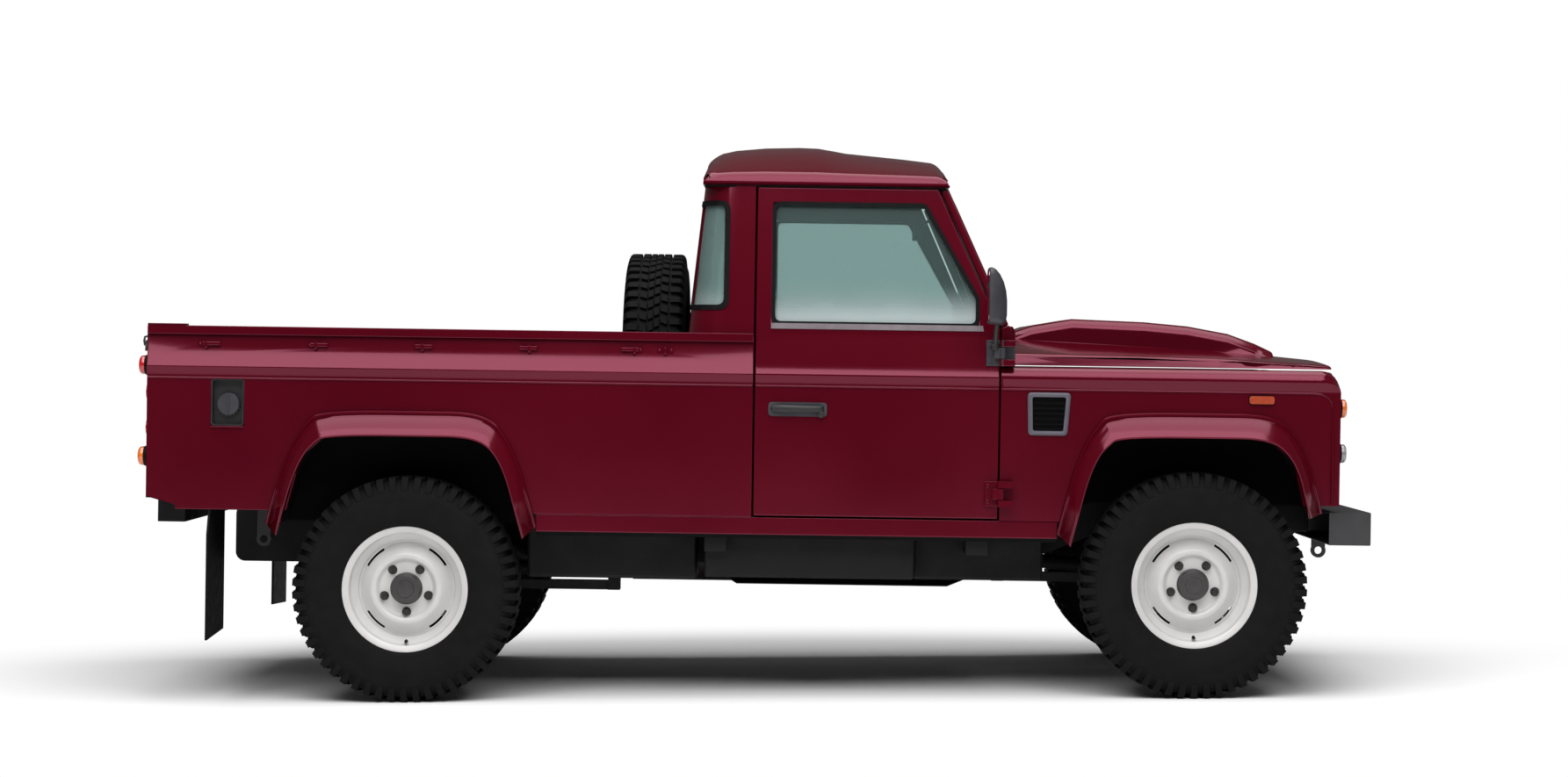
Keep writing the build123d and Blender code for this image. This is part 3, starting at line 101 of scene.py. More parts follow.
# Baked enamel over pressed alloy: deep red, glossy, almost even, faint orange peel
body_paint = finish("red_enamel", ("#480210", "#4E0312"), (0.13, 0.19), (0.5, 0.006), bump=0.00006, coat=0.12,
                    Specular_IOR_Level=0.6, Specular_Tint=(1.0, 0.26, 0.42, 1.0))
# Chalk-white stoved paint on steel, satin
wheel_paint = finish("white_stove_paint", ("#C2C0BF", "#CAC8C7"), (0.34, 0.45), (0.08, 0.004), bump=0.00008, coat=0.3)
# Thick black wax and paint on the frame
chassis_black = finish("black_frame_paint", ("#070708", "#100F0F"), (0.5, 0.75), (0.12, 0.008), bump=0.0006,
                       Specular_IOR_Level=0.25)
# Satin grey-black paint on folded steel
bumper_grey = finish("grey_bumper_paint", ("#2D2C2E", "#363537"), (0.42, 0.55), (0.1, 0.003), bump=0.0001)
# Moulded tyre rubber, dull with a dusty bloom
tyre_rubber = finish("tyre_rubber", ("#0E0D0E", "#161516"), (0.68, 0.85), (0.05, 0.0025), bump=0.0004,
                     Specular_IOR_Level=0.1)
# Ribbed rubber of flaps and seals
flap_rubber = finish("seal_rubber", ("#0A0A0B", "#121213"), (0.55, 0.7), (0.04, 0.002), bump=0.0003,
                     Specular_IOR_Level=0.08)
# Sand-cast iron and alloy under black paint, oily
cast_metal = finish("cast_iron", ("#0C0B0B", "#171615"), (0.5, 0.7), (0.06, 0.003), bump=0.0008, metal=0.2,
                    Specular_IOR_Level=0.25)
# Zinc-plated steel, slightly dulled
bright_steel = finish("zinc_plated_steel", ("#8A8A88", "#A3A29E"), (0.28, 0.5), (0.03, 0.002), bump=0.0002, metal=1.0)
# Grained black moulding
black_plastic = finish("grained_black_plastic", ("#141416", "#1C1C1F"), (0.48, 0.6), (0.05, 0.0015), bump=0.0003)
# Dark grey grained moulding of mirrors, hinges and vents
grey_plastic = finish("grey_moulding", ("#2B2A2F", "#34333A"), (0.42, 0.55), (0.05, 0.0015), bump=0.0002)
# Chrome and silvered glass behind the lamps and in the mirrors
mirror_silver = finish("silvered_glass", ("#C9CCCE", "#D6D9DB"), (0.04, 0.1), (0.05, 0.01), metal=1.0)
# Dark grey painted hub caps, and darkened steel nuts
hub_grey = finish("hub_cap_grey", ("#302E2F", "#393637"), (0.4, 0.52), (0.03, 0.002), bump=0.0002)
nut_steel = finish("darkened_nut_steel", ("#2C2A2A", "#3D3A3A"), (0.35, 0.5), (0.01, 0.001), bump=0.0001, metal=0.7)
# Woven seat cloth
seat_cloth = finish("seat_cloth", ("#2C2D30", "#3A3B3F"), (0.85, 0.95), (0.02, 0.0012), bump=0.0007)
# Satin anodised rail, grey vent moulding, and the black of pockets and liners
rail_grey = finish("anodised_rail", ("#6F666B", "#7B7277"), (0.35, 0.45), (0.05, 0.002), bump=0.0001, metal=0.4)
vent_grey = finish("vent_grey", ("#4C4A54", "#56535D"), (0.45, 0.55), (0.04, 0.0015), bump=0.0002)
pocket_black = finish("pocket_black", ("#040405", "#08080A"), (0.7, 0.85), (0.05, 0.004), bump=0.0004,
                      Specular_IOR_Level=0.1)
# Exhaust steel in dark brown-grey, half metallic
exhaust_steel = finish("dark_exhaust_steel", ("#1B1816", "#33302C"), (0.5, 0.7), (0.08, 0.003), bump=0.0004,
                       metal=0.5)
dial_white = finish("dial_marking", ("#C9CBC9", "#D6D8D6"), (0.5, 0.6), (0.01, 0.001), bump=0.00005)
# Clear, amber and red lamp covers
lamp_clear = finish("clear_lamp_cover", ("#E8ECEC", "#F2F4F4"), (0.06, 0.12), (0.03, 0.006), bump=0.0003,
                    Transmission_Weight=0.75, coat=1.0)
lamp_amber = finish("amber_lamp_cover", ("#D8641A", "#E27428"), (0.12, 0.2), (0.01, 0.004), bump=0.0004, coat=1.0)
repeater_amber = finish("repeater_amber", ("#9A3A22", "#A8452A"), (0.15, 0.25), (0.01, 0.004), bump=0.0003, coat=1.0)
lamp_red = finish("red_lamp_cover", ("#B0101C", "#C21826"), (0.12, 0.2), (0.01, 0.004), bump=0.0004, coat=1.0)
# Blank reflective plates
plate_white = finish("blank_plate", ("#D9D9D4", "#E2E2DE"), (0.3, 0.4), (0.05, 0.002), bump=0.0001)


def tinted_glass(name, top_film_share):
    """Thin green-grey window glass under a diffuse film that turns paler and thicker toward the waist: painted
    reflection, with some haze.
    """
    material = bpy.data.materials.new(name)
    material.use_nodes = True
    tree = material.node_tree
    tree.nodes.clear()
    place = add(tree, "ShaderNodeTexCoord").outputs["Object"]
    height = add(tree, "ShaderNodeSeparateXYZ", Vector=place).outputs["Z"]
    cloud = add(tree, "ShaderNodeTexNoise", Vector=place, Scale=3.0, Detail=2.0).outputs["Fac"]
    drift = add(tree, "ShaderNodeMath", {"operation": "MULTIPLY_ADD"}, i0=cloud, i1=0.06, i2=height).outputs[0]
    # Painted reflection: below 1.53 m the film turns near-white and covers more of the glass toward the waist
    low = add(tree, "ShaderNodeMapRange", {"interpolation_type": "SMOOTHSTEP"}, Value=drift, i1=1.53, i2=1.34)
    tone = add(tree, "ShaderNodeMix", {"data_type": "RGBA"}, i0=low.outputs["Result"],
               i6=linear("#7E9A96"), i7=linear("#D6E0E1"))
    veil = add(tree, "ShaderNodeMapRange", Value=low.outputs["Result"], i3=top_film_share, i4=0.6).outputs["Result"]
    through = add(tree, "ShaderNodeBsdfTransparent", Color=linear("#E1EDEC"))
    film = add(tree, "ShaderNodeBsdfDiffuse", Color=tone.outputs[2])
    film_over_glass = add(tree, "ShaderNodeMixShader", i0=veil, i1=through.outputs[0], i2=film.outputs[0])
    shine = add(tree, "ShaderNodeBsdfGlossy", Color=linear("#FFFFFF"), Roughness=0.02)
    edge = add(tree, "ShaderNodeFresnel", IOR=1.5).outputs[0]
    mix = add(tree, "ShaderNodeMixShader", i0=edge, i1=film_over_glass.outputs[0], i2=shine.outputs[0])
    out = add(tree, "ShaderNodeOutputMaterial")
    tree.links.new(mix.outputs[0], out.inputs["Surface"])
    return material


# Share of the painted film at the top of each glass: thin on the doors, thicker on the cab's corner and rear glass
window_glass = tinted_glass("door_window_glass", 0.15)
cab_glass = tinted_glass("cab_window_glass", 0.42)


# Shapes: every piece is drawn level, then leaned with the body unless it stands on the road
def box(shape, x0, x1, y0, y1, z0, z1, turn=None):
    """Square-cornered block between two corners."""
    made = bmesh.ops.create_cube(shape, size=1.0)["verts"]
    size = Matrix.Diagonal((abs(x1 - x0), abs(y1 - y0), abs(z1 - z0), 1))
    place = Matrix.Translation(((x0 + x1) / 2, (y0 + y1) / 2, (z0 + z1) / 2))
    bmesh.ops.transform(shape, matrix=place @ (turn or Matrix()) @ size, verts=made)
    return made


def prism(shape, outline, offset):
    """Closed outline of points pushed along an offset into a solid."""
    near = [shape.verts.new(point) for point in outline]
    far = [shape.verts.new(Vector(point) + Vector(offset)) for point in outline]
    shape.faces.new(near)
    shape.faces.new(far[::-1])
    for a, b, c, d in zip(near, near[1:] + near[:1], far[1:] + far[:1], far):
        shape.faces.new((a, d, c, b))
    return near + far


def band(shape, outer, inner, offset):
    """Flat ring between two outlines of equal count, pushed along an offset."""
    offset = Vector(offset)
    loops = []
    for points, shift in ((outer, Vector()), (inner, Vector()), (inner, offset), (outer, offset)):
        loops.append([shape.verts.new(Vector(point) + shift) for point in points])
    for near, far in zip(loops, loops[1:] + loops[:1]):
        for a, b, c, d in zip(near, near[1:] + near[:1], far[1:] + far[:1], far):
            shape.faces.new((a, b, c, d))


def lathe(shape, profile, place, steps=48, closed=False):
    """Profile (radius, along) turned about the local Y axis and placed by a matrix."""
    rings = []
    for radius, along in profile:
        ring = []
        for step in range(steps):
            angle = 2 * pi * step / steps
            point = Vector((radius * cos(angle), along, radius * sin(angle)))
            ring.append(shape.verts.new(place @ point))
        rings.append(ring)
    pairs = list(zip(rings, rings[1:]))
    if closed:
        pairs.append((rings[-1], rings[0]))
    for near, far in pairs:
        for a, b, c, d in zip(near, near[1:] + near[:1], far[1:] + far[:1], far):
            shape.faces.new((a, b, c, d))
    if not closed:
        for ring, radius in ((rings[0], profile[0][0]), (rings[-1], profile[-1][0])):
            if radius > 0.0005:
                shape.faces.new(ring)
    return rings


def tube(shape, points, radius, steps=10):
    """Round bar through points."""
    points = [Vector(point) for point in points]
    rings = []
    for place, point in enumerate(points):
        before = points[max(place - 1, 0)]
        after = points[min(place + 1, len(points) - 1)]
        along = (after - before).normalized()
        side = along.orthogonal().normalized() if place == 0 else (side - along * side.dot(along)).normalized()
        across = along.cross(side)
        ring = []
        for step in range(steps):
            angle = 2 * pi * step / steps
            ring.append(shape.verts.new(point + side * radius * cos(angle) + across * radius * sin(angle)))
        rings.append(ring)
    for near, far in zip(rings, rings[1:]):
        for a, b, c, d in zip(near, near[1:] + near[:1], far[1:] + far[:1], far):
            shape.faces.new((a, b, c, d))
    shape.faces.new(rings[0][::-1])
    shape.faces.new(rings[-1])


def rounded(points, radius, steps=5):
    """Flat outline (u, v) with its corners rounded, the same count of points at each corner."""
    path = []
    count = len(points)
    for place in range(count):
        before, corner, after = (Vector(points[(place + shift) % count]) for shift in (-1, 0, 1))
        back = (before - corner).normalized()
        on = (after - corner).normalized()
        half = back.angle(on) / 2
        reach = radius * cos(half) / sin(half)
        start = corner + back * reach
        end = corner + on * reach
        for step in range(steps + 1):
            t = step / steps
            path.append(start * (1 - t) ** 2 + corner * 2 * t * (1 - t) + end * t ** 2)
    return path


def inset(points, distance):
    """Flat convex outline (u, v), counter-clockwise, moved inward by a distance."""
    moved = []
    count = len(points)
    for place in range(count):
        before, corner, after = (Vector(points[(place + shift) % count]) for shift in (-1, 0, 1))
        one = (corner - before).normalized()
        two = (after - corner).normalized()
        n1 = Vector((-one.y, one.x))
        n2 = Vector((-two.y, two.x))
        moved.append(corner + (n1 + n2) * distance / (1 + n1.dot(n2)))
    return moved


def copy_of(node, sprung=True):
    """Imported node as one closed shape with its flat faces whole, drawn level."""
    shape = bmesh.new()
    shape.from_mesh(nodes[node].data)
    bmesh.ops.remove_doubles(shape, verts=shape.verts, dist=0.00005)
    bmesh.ops.dissolve_limit(shape, angle_limit=radians(0.5), verts=shape.verts, edges=shape.edges)
    if sprung:
        shape.transform(LEVEL)
    return shape


def soften(shape, width, steps=2, least=0.02, where=None):
    """Round the long sharp outer edges."""
    edges = []
    for edge in shape.edges:
        if len(edge.link_faces) != 2 or edge.calc_length() < least or not edge.is_convex:
            continue
        if edge.calc_face_angle() < radians(22):
            continue
        if where is None or all(where(vert.co) for vert in edge.verts):
            edges.append(edge)
    bmesh.ops.bevel(shape, geom=edges, offset=width, offset_type="OFFSET", segments=steps, profile=0.5,
                    affect="EDGES", clamp_overlap=False)


def crease_flats(shape, wide):
    """Crease the edges between two faces wider than a bevel strip, and every edge over 40 degrees."""
    for edge in shape.edges:
        if len(edge.link_faces) == 2:
            least = min(2 * face.calc_area() / face.calc_perimeter() for face in edge.link_faces)
            bend = edge.calc_face_angle(0.0)
            edge.smooth = bend < radians(40) and (least < wide or bend < radians(6))


def make(name, shape, paint, body, instead=(), sprung=True, angle=32, fresh=True, flats=0.0,
         under=None):
    """Finish a shape as a piece of the truck that rides on a body."""
    if fresh:
        bmesh.ops.recalc_face_normals(shape, faces=shape.faces)
    for face in shape.faces:
        face.smooth = True
        if under and under(face.calc_center_median(), face.normal):
            face.material_index = 1
    if flats:
        crease_flats(shape, flats)
    if sprung:
        shape.transform(LEAN)
    mesh = bpy.data.meshes.new(name)
    shape.to_mesh(mesh)
    shape.free()
    if not flats:
        mesh.set_sharp_from_angle(angle=radians(angle))
    mesh.materials.append(paint)
    if under:
        mesh.materials.append(pocket_black)
    piece = bpy.data.objects.new(name, mesh)
    bpy.context.scene.collection.objects.link(piece)
    even = piece.modifiers.new("even_normals", "WEIGHTED_NORMAL")
    even.keep_sharp = True
    even.weight = 80
    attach(piece, body)
    if instead:
        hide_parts(*instead)
    return piece


def both_sides(build):
    """Build a detail on the left and on the right side."""
    for side, place in ((1, "left"), (-1, "right")):
        build(side, place)


# Side section below the belt: height, half width
SIDE = [(0.646, 0.828), (1.117, 0.836), (1.152, 0.850), (1.190, 0.836), (1.266, 0.822), (1.297, 0.822)]


def side_at(z):
    """Half width of the outer side at a height."""
    for (z0, half0), (z1, half1) in zip(SIDE, SIDE[1:]):
        if z <= z1:
            return half0 + (z - z0) * (half1 - half0) / (z1 - z0)
    return SIDE[-1][1]


def upper_at(z):
    """Half width of the cab above the belt, which leans in toward the eaves."""
    return 0.815 - (z - 1.302) * 0.080 / 0.520


# Pressed panels: enamel outside, black underseal below the floors and inside the arches
def underneath(at, normal):
    return normal.z < -0.4 and at.z < 0.98


def beneath_bed(at, normal):
    return normal.z < -0.4 or (abs(at.x + AXLE_X) < 0.5 and abs(at.y) < 0.8 and at.y * normal.y > 0.0 and at.z < 0.97)


def inside_wing(at, normal):
    return at.z < 1.15 and (normal.z < -0.6 or at.y * normal.y < 0 or
                            (abs(at.y) < 0.8 and at.x < 1.85 and abs(normal.y) > 0.5))


PANELS = [
    ("bulkhead", 0.004, 2),
    ("cab_back", 0.004, 2),
    ("front_panel", 0.004, 2),
    ("sills", 0.004, 2),
    ("load_bed", 0.004, 2),
    ("tub_sides", 0.0035, 2),
    ("windscreen_frame", 0.007, 3),
]
for node, width, steps in PANELS:
    shape = copy_of(node)
    soften(shape, width, steps)
    under = beneath_bed if node in ("load_bed", "tub_sides") else underneath
    make(node + "_panel", shape, body_paint, "chassis", [node], fresh=False, flats=0.012, under=under)

shape = copy_of("front_wings")
nose = lambda at: at.x > 1.9 and at.z > 1.15
soften(shape, 0.07, 6, where=nose)
soften(shape, 0.008, 3, least=0.03, where=lambda at: at.z > 1.0)
make("front_wing_panels", shape, body_paint, "chassis", ["front_wings"], fresh=False,
     flats=0.03, under=inside_wing)

shape = copy_of("cab_roof")
soften(shape, 0.02, 4, where=lambda at: at.z > 1.83)
make("roof_panel", shape, body_paint, "chassis", ["cab_roof"], fresh=False, angle=40)

shape = copy_of("bonnet")
soften(shape, 0.012, 4, where=lambda at: at.z > 1.2)
make("bonnet_panel", shape, body_paint, "bonnet", ["bonnet"], fresh=False, angle=40)

shape = copy_of("tailgate")
soften(shape, 0.003, 2)
make("tailgate_panel", shape, body_paint, "tailgate", ["tailgate"], fresh=False,
     flats=0.012)

for place in ("left", "right"):
    shape = copy_of("door_" + place)
    soften(shape, 0.005, 3)
    make("door_panel_" + place, shape, body_paint, "door_" + place, ["door_" + place], fresh=False,
         flats=0.012)

# Black running gear, plain copies with smooth round faces
GEAR = [
    ("chassis_frame", chassis_black, "chassis", 0.003, True, "chassis_black"),
    ("suspension", chassis_black, "chassis", 0.002, True, "chassis_black"),
    ("fuel_tank", chassis_black, "chassis", 0, True, "chassis_black"),
    ("exhaust", exhaust_steel, "chassis", 0, True, "bright_steel"),
    ("drivetrain", cast_metal, "chassis", 0.006, True, "cast_metal"),
    ("front_axle", cast_metal, "chassis", 0, False, "cast_metal"),
    ("rear_axle", cast_metal, "chassis", 0, False, "cast_metal"),
    ("knuckle_left", cast_metal, "knuckle_left", 0, False, "cast_metal"),
    ("knuckle_right", cast_metal, "knuckle_right", 0, False, "cast_metal"),
    ("front_bumper", bumper_grey, "chassis", 0.004, True, "bumper_grey"),
    ("lashing_eyes", bumper_grey, "chassis", 0.001, True, "bright_steel"),
    ("mud_flaps", flap_rubber, "chassis", 0.001, True, "flap_rubber"),
    ("fascia", black_plastic, "chassis", 0.008, True, "black_plastic"),
    ("cab_floor", black_plastic, "chassis", 0.004, True, "body_paint"),
    ("grille", black_plastic, "chassis", 0.002, True, "black_plastic"),
    ("steering_wheel", black_plastic, "steering_wheel", 0, True, "black_plastic"),
    ("cab_glass", cab_glass, "chassis", 0, True, "clear_glass"),
    ("door_glass_left", window_glass, "door_left", 0, True, "clear_glass"),
    ("door_glass_right", window_glass, "door_right", 0, True, "clear_glass"),
]
for node, paint, body, width, sprung, slot in GEAR:
    shape = copy_of(node, sprung)
    if width:
        soften(shape, width, 2)
    make(node + "_piece", shape, paint, body, [node], sprung=sprung, fresh=False)

# Eyebrow flares: pressed alloy with a bead along the body, a hollow, and a broad sloping face to a rolled lip
ARCHES = [("front", AXLE_X, 0.948), ("rear", -AXLE_X - 0.006, 0.915)]
OPENING_HALF = 0.432
FLARE_BAND = 0.048
# Section from the body to the lip: share of the band, half width
FLARE_SECTION = [(0.0, 0.834), (0.0, 0.846), (0.05, 0.851), (0.11, 0.852), (0.16, 0.848), (0.20, 0.8485),
                 (0.26, 0.853), (0.40, 0.866), (0.60, 0.879), (0.80, 0.889), (0.92, 0.8945), (0.98, 0.8935),
                 (1.0, 0.889), (1.0, 0.870)]


def arch_line(wheel_x, half, shoulder, crown, top, foot, front_foot=0.0):
    """Half-hexagon arch line with smooth corners, from the front foot over the crown to the rear foot."""
    right = [Vector((half, foot)), Vector(shoulder), Vector((crown, top))]
    corners = right + [Vector((-at.x, at.y)) for at in reversed(right)]
    share = max(0.0, (front_foot - foot) / (shoulder[1] - foot))
    line = [corners[0].lerp(corners[1], share)]
    for before, corner, after, ease in zip(corners, corners[1:], corners[2:], (0.5, 0.42, 0.42, 0.5)):
        start = corner.lerp(before, ease * 0.9 * (1 - share) if corner is corners[1] else ease)
        end = corner.lerp(after, ease if (corner is corners[2] or corner is corners[3]) is False else ease * 0.5)
        for step in range(9):
            t = step / 8
            line.append(start * (1 - t) ** 2 + corner * 2 * t * (1 - t) + end * t ** 2)
    line.append(corners[-1].copy())
    return [Vector((wheel_x + at.x, 0, at.y)) for at in line]


def flare(place, wheel_x, top):
    outer = arch_line(wheel_x, OPENING_HALF + FLARE_BAND, (0.404, top - 0.040), 0.300, top + 0.090, 0.604,
                      0.690 if place == "front" else 0.0)
    inner = arch_line(wheel_x, OPENING_HALF, (0.358, top - 0.082), 0.268, top, 0.560, 0.672 if place == "front" else 0.0)
    for side, hand in ((1, "left"), (-1, "right")):
        shape = bmesh.new()
        rows = []
        for share, half in FLARE_SECTION:
            row = []
            for near, far in zip(outer, inner):
                at = near.lerp(far, share)
                low = max(0.0, 0.66 - at.z) * 0.10
                row.append(shape.verts.new((at.x, side * (half - low), at.z)))
            rows.append(row)
        for near, far in zip(rows, rows[1:]):
            for a, b, c, d in zip(near, near[1:], far[1:], far):
                shape.faces.new((a, b, c, d))
        shape.normal_update()
        for face in shape.faces:
            if face.normal.y * side < -0.2:
                face.normal_flip()
        piece = make(f"flare_{place}_{hand}", shape, body_paint, "chassis", sprung=True)
        wall = piece.modifiers.new("wall", "SOLIDIFY")
        wall.thickness = 0.0025
        wall.offset = -1.0
        if place == "front" and hand == "left":
            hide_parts("arch_flares")


for arch in ARCHES:
    flare(*arch)


# Tyres: smooth casing with sidewall rings, wrapped shoulder lugs and a blocked tread
CASING = [(0.2075, 0.076), (0.214, 0.086), (0.224, 0.0905), (0.230, 0.0985), (0.238, 0.1035), (0.243, 0.1030),
          (0.252, 0.1090), (0.268, 0.1140), (0.288, 0.1168), (0.300, 0.1172), (0.302, 0.1162), (0.322, 0.1158),
          (0.324, 0.1166), (0.338, 0.1150), (0.352, 0.1105), (0.364, 0.1040), (0.374, 0.0955), (0.384, 0.084),
          (0.387, 0.060), (0.388, 0.0)]
PITCHES = 54


def polar(radius, y, angle):
    return Vector((radius * cos(angle), y, radius * sin(angle)))


def tread_block(shape, footprint, top, base, shrink=0.0012):
    """Rubber block: footprint of (y, angle) corners, narrower at the top radius than at its base."""
    centre_y = sum(y for y, angle in footprint) / len(footprint)
    centre_angle = sum(angle for y, angle in footprint) / len(footprint)
    rows = []
    for radius, grow in ((base, 1.0), (top - 0.001, 0.97), (top, 0.9)):
        row = []
        for y, angle in footprint:
            row.append(shape.verts.new(polar(radius, centre_y + (y - centre_y) * grow,
                                             centre_angle + (angle - centre_angle) * grow)))
        rows.append(row)
    for near, far in zip(rows, rows[1:]):
        for a, b, c, d in zip(near, near[1:] + near[:1], far[1:] + far[:1], far):
            shape.faces.new((a, b, c, d))
    shape.faces.new(rows[-1])


def shoulder_lug(shape, side, start, width, long):
    """Lug that wraps from the tread over the shoulder on to the sidewall."""
    line = [(0.399, 0.060), (0.3995, 0.084), (0.3985, 0.0945), (0.3935, 0.1015), (0.384, 0.1062)]
    foot = [(0.385, 0.060), (0.380, 0.080), (0.375, 0.0895), (0.369, 0.0965), (0.364, 0.1010)]
    if long:
        line += [(0.368, 0.1110), (0.354, 0.1138), (0.350, 0.1128)]
        foot += [(0.360, 0.1040), (0.350, 0.1085), (0.347, 0.1085)]
    else:
        line += [(0.377, 0.1070)]
        foot += [(0.362, 0.1020)]
    rows = []
    for along in (0, 1):
        for outline, shrink in ((foot, 0.0), (line, 0.0025)):
            row = []
            for radius, y in outline:
                angle = start + along * width + (shrink if along == 0 else -shrink)
                row.append(shape.verts.new(polar(radius, side * y, angle)))
            rows.append(row)
    first_foot, first_top, last_foot, last_top = rows
    for near, far in ((first_foot, first_top), (first_top, last_top), (last_top, last_foot)):
        for a, b, c, d in zip(near, near[1:], far[1:], far):
            shape.faces.new((a, b, c, d))
    for end in (0, -1):
        shape.faces.new([first_foot[end], first_top[end], last_top[end], last_foot[end]])


def tread_sector():
    """One pitch of the tread: two long or short shoulder lugs and the blocks between them."""
    shape = bmesh.new()
    pitch = 2 * pi / PITCHES
    for side in (1, -1):
        shift = 0 if side > 0 else pitch / 2
        shoulder_lug(shape, side, shift + pitch * 0.12, pitch * 0.56, side > 0)
        skew = side * pitch * 0.18
        block = [(side * 0.052, shift + pitch * 0.05), (side * 0.052, shift + pitch * 0.70),
                 (side * 0.026, shift + pitch * 0.70 + skew), (side * 0.026, shift + pitch * 0.05 + skew)]
        tread_block(shape, block, 0.4, 0.385)
        block = [(side * 0.021, shift + pitch * 0.10), (side * 0.021, shift + pitch * 0.80),
                 (side * 0.002, shift + pitch * 0.80 - skew), (side * 0.002, shift + pitch * 0.10 - skew)]
        tread_block(shape, block, 0.4, 0.385)
    return shape


def ring_of(sector, count, paint, name):
    """Repeat a sector about the local Y axis with a node group, and take the realized mesh."""
    mesh = bpy.data.meshes.new(name)
    sector.to_mesh(mesh)
    sector.free()
    holder = bpy.data.objects.new(name, mesh)
    bpy.context.scene.collection.objects.link(holder)
    group = bpy.data.node_groups.get("ring_of_copies")
    if group is None:
        group = bpy.data.node_groups.new("ring_of_copies", "GeometryNodeTree")
        faces_in = group.interface
        faces_in.new_socket("Sector", in_out="INPUT", socket_type="NodeSocketGeometry")
        faces_in.new_socket("Count", in_out="INPUT", socket_type="NodeSocketInt")
        faces_in.new_socket("Paint", in_out="INPUT", socket_type="NodeSocketMaterial")
        faces_in.new_socket("Ring", in_out="OUTPUT", socket_type="NodeSocketGeometry")
        given = group.nodes.new("NodeGroupInput").outputs
        points = add(group, "GeometryNodePoints", Count=given["Count"], Radius=0.01)
        number = add(group, "GeometryNodeInputIndex").outputs[0]
        turn = add(group, "ShaderNodeMath", {"operation": "DIVIDE"}, i0=2 * pi, i1=given["Count"])
        angle = add(group, "ShaderNodeMath", {"operation": "MULTIPLY"}, i0=turn.outputs[0], i1=number)
        spin = add(group, "ShaderNodeCombineXYZ", Y=angle.outputs[0])
        copies = add(group, "GeometryNodeInstanceOnPoints", Points=points.outputs[0], Instance=given["Sector"],
                     Rotation=spin.outputs[0])
        solid = add(group, "GeometryNodeRealizeInstances", Geometry=copies.outputs[0])
        painted = add(group, "GeometryNodeSetMaterial", Geometry=solid.outputs[0], Material=given["Paint"])
        out = group.nodes.new("NodeGroupOutput")
        group.links.new(painted.outputs[0], out.inputs[0])
    repeat = holder.modifiers.new("ring", "NODES")
    repeat.node_group = group
    sockets = {item.name: item.identifier for item in group.interface.items_tree}
    repeat[sockets["Count"]] = count
    repeat[sockets["Paint"]] = paint
    bpy.context.view_layer.update()
    made = bpy.data.meshes.new_from_object(holder.evaluated_get(bpy.context.evaluated_depsgraph_get()))
    bpy.data.objects.remove(holder)
    ring = bmesh.new()
    ring.from_mesh(made)
    bpy.data.meshes.remove(made)
    return ring


def casing():
    """Closed smooth casing of the tyre with an inner liner."""
    shape = bmesh.new()
    outside = CASING + [(radius, -y) for radius, y in reversed(CASING[:-1])]
    inside = [(0.2075, -0.062), (0.30, -0.098), (0.365, -0.080), (0.372, 0.0), (0.365, 0.080), (0.30, 0.098),
              (0.2075, 0.062)]
    lathe(shape, outside + inside, Matrix(), 108, closed=True)
    return shape


# Pressed steel wheels: rolled rim, dished disc with four curved slots, hub and five nuts
RIM_OUT = [(0.2225, 0.0905), (0.2235, 0.0895), (0.2235, 0.0870), (0.2200, 0.0845), (0.2120, 0.0835),
           (0.2070, 0.0800), (0.2062, 0.056), (0.2010, 0.052), (0.182, 0.034), (0.177, 0.030), (0.177, -0.036),
           (0.182, -0.040), (0.2010, -0.055), (0.2062, -0.058), (0.2070, -0.080), (0.2120, -0.0835),
           (0.2200, -0.0845), (0.2235, -0.0875), (0.2235, -0.0895), (0.2225, -0.0905)]
RIM_IN = [(0.2175, -0.0905), (0.2145, -0.0880), (0.2080, -0.0870), (0.2005, -0.082), (0.1995, -0.060),
          (0.1950, -0.0555), (0.1755, -0.042), (0.1705, -0.036), (0.1705, 0.027), (0.1745, 0.031), (0.194, 0.0500),
          (0.1995, 0.0560), (0.2005, 0.0820), (0.2080, 0.0870), (0.2145, 0.0880), (0.2175, 0.0905)]
DISC = [(0.0330, 0.0330), (0.0330, 0.0400), (0.0560, 0.0405), (0.0900, 0.0405), (0.0965, 0.0425), (0.1035, 0.0505),
        (0.1085, 0.0548), (0.1145, 0.0562), (0.1205, 0.0560), (0.1270, 0.0530), (0.1400, 0.0410), (0.1480, 0.0335),
        (0.1545, 0.0288), (0.1560, 0.0280), (0.1640, 0.0235), (0.1660, 0.0230), (0.1705, 0.0240)]
DISC_THICK = 0.006
SLOT_FROM, SLOT_TO = 13, 14
DISC_STEPS = 144
SLOTS = 4
SLOT_STEPS = 12


def wheel_metal():
    """Rim and slotted disc, outer side toward +Y."""
    shape = bmesh.new()
    lathe(shape, RIM_OUT + RIM_IN, Matrix(), 108, closed=True)
    front = []
    back = []
    for radius, y in DISC:
        for rows, drop in ((front, 0.0), (back, DISC_THICK)):
            rows.append([shape.verts.new(polar(radius, y - drop, 2 * pi * step / DISC_STEPS))
                         for step in range(DISC_STEPS)])
    quarter = DISC_STEPS // SLOTS
    first = (quarter - SLOT_STEPS) // 2

    def in_slot(step):
        return first <= step % quarter < first + SLOT_STEPS

    for row in range(len(DISC) - 1):
        for step in range(DISC_STEPS):
            after = (step + 1) % DISC_STEPS
            if row == SLOT_FROM and in_slot(step):
                for ring in (row, row + 1):
                    shape.faces.new((front[ring][step], front[ring][after], back[ring][after], back[ring][step]))
                if not in_slot(step - 1):
                    shape.faces.new((front[row][step], front[row + 1][step], back[row + 1][step], back[row][step]))
                if not in_slot(after):
                    shape.faces.new((front[row][after], front[row + 1][after], back[row + 1][after], back[row][after]))
                continue
            for side in (front, back):
                shape.faces.new((side[row][step], side[row][after], side[row + 1][after], side[row + 1][step]))
    for row in (0, len(DISC) - 1):
        for step in range(DISC_STEPS):
            after = (step + 1) % DISC_STEPS
            shape.faces.new((front[row][step], front[row][after], back[row][after], back[row][step]))
    return shape


def facing(radius, y, angle):
    """Frame at a point of the wheel face, its Y axis outward."""
    return Matrix.Translation(polar(radius, y, angle))


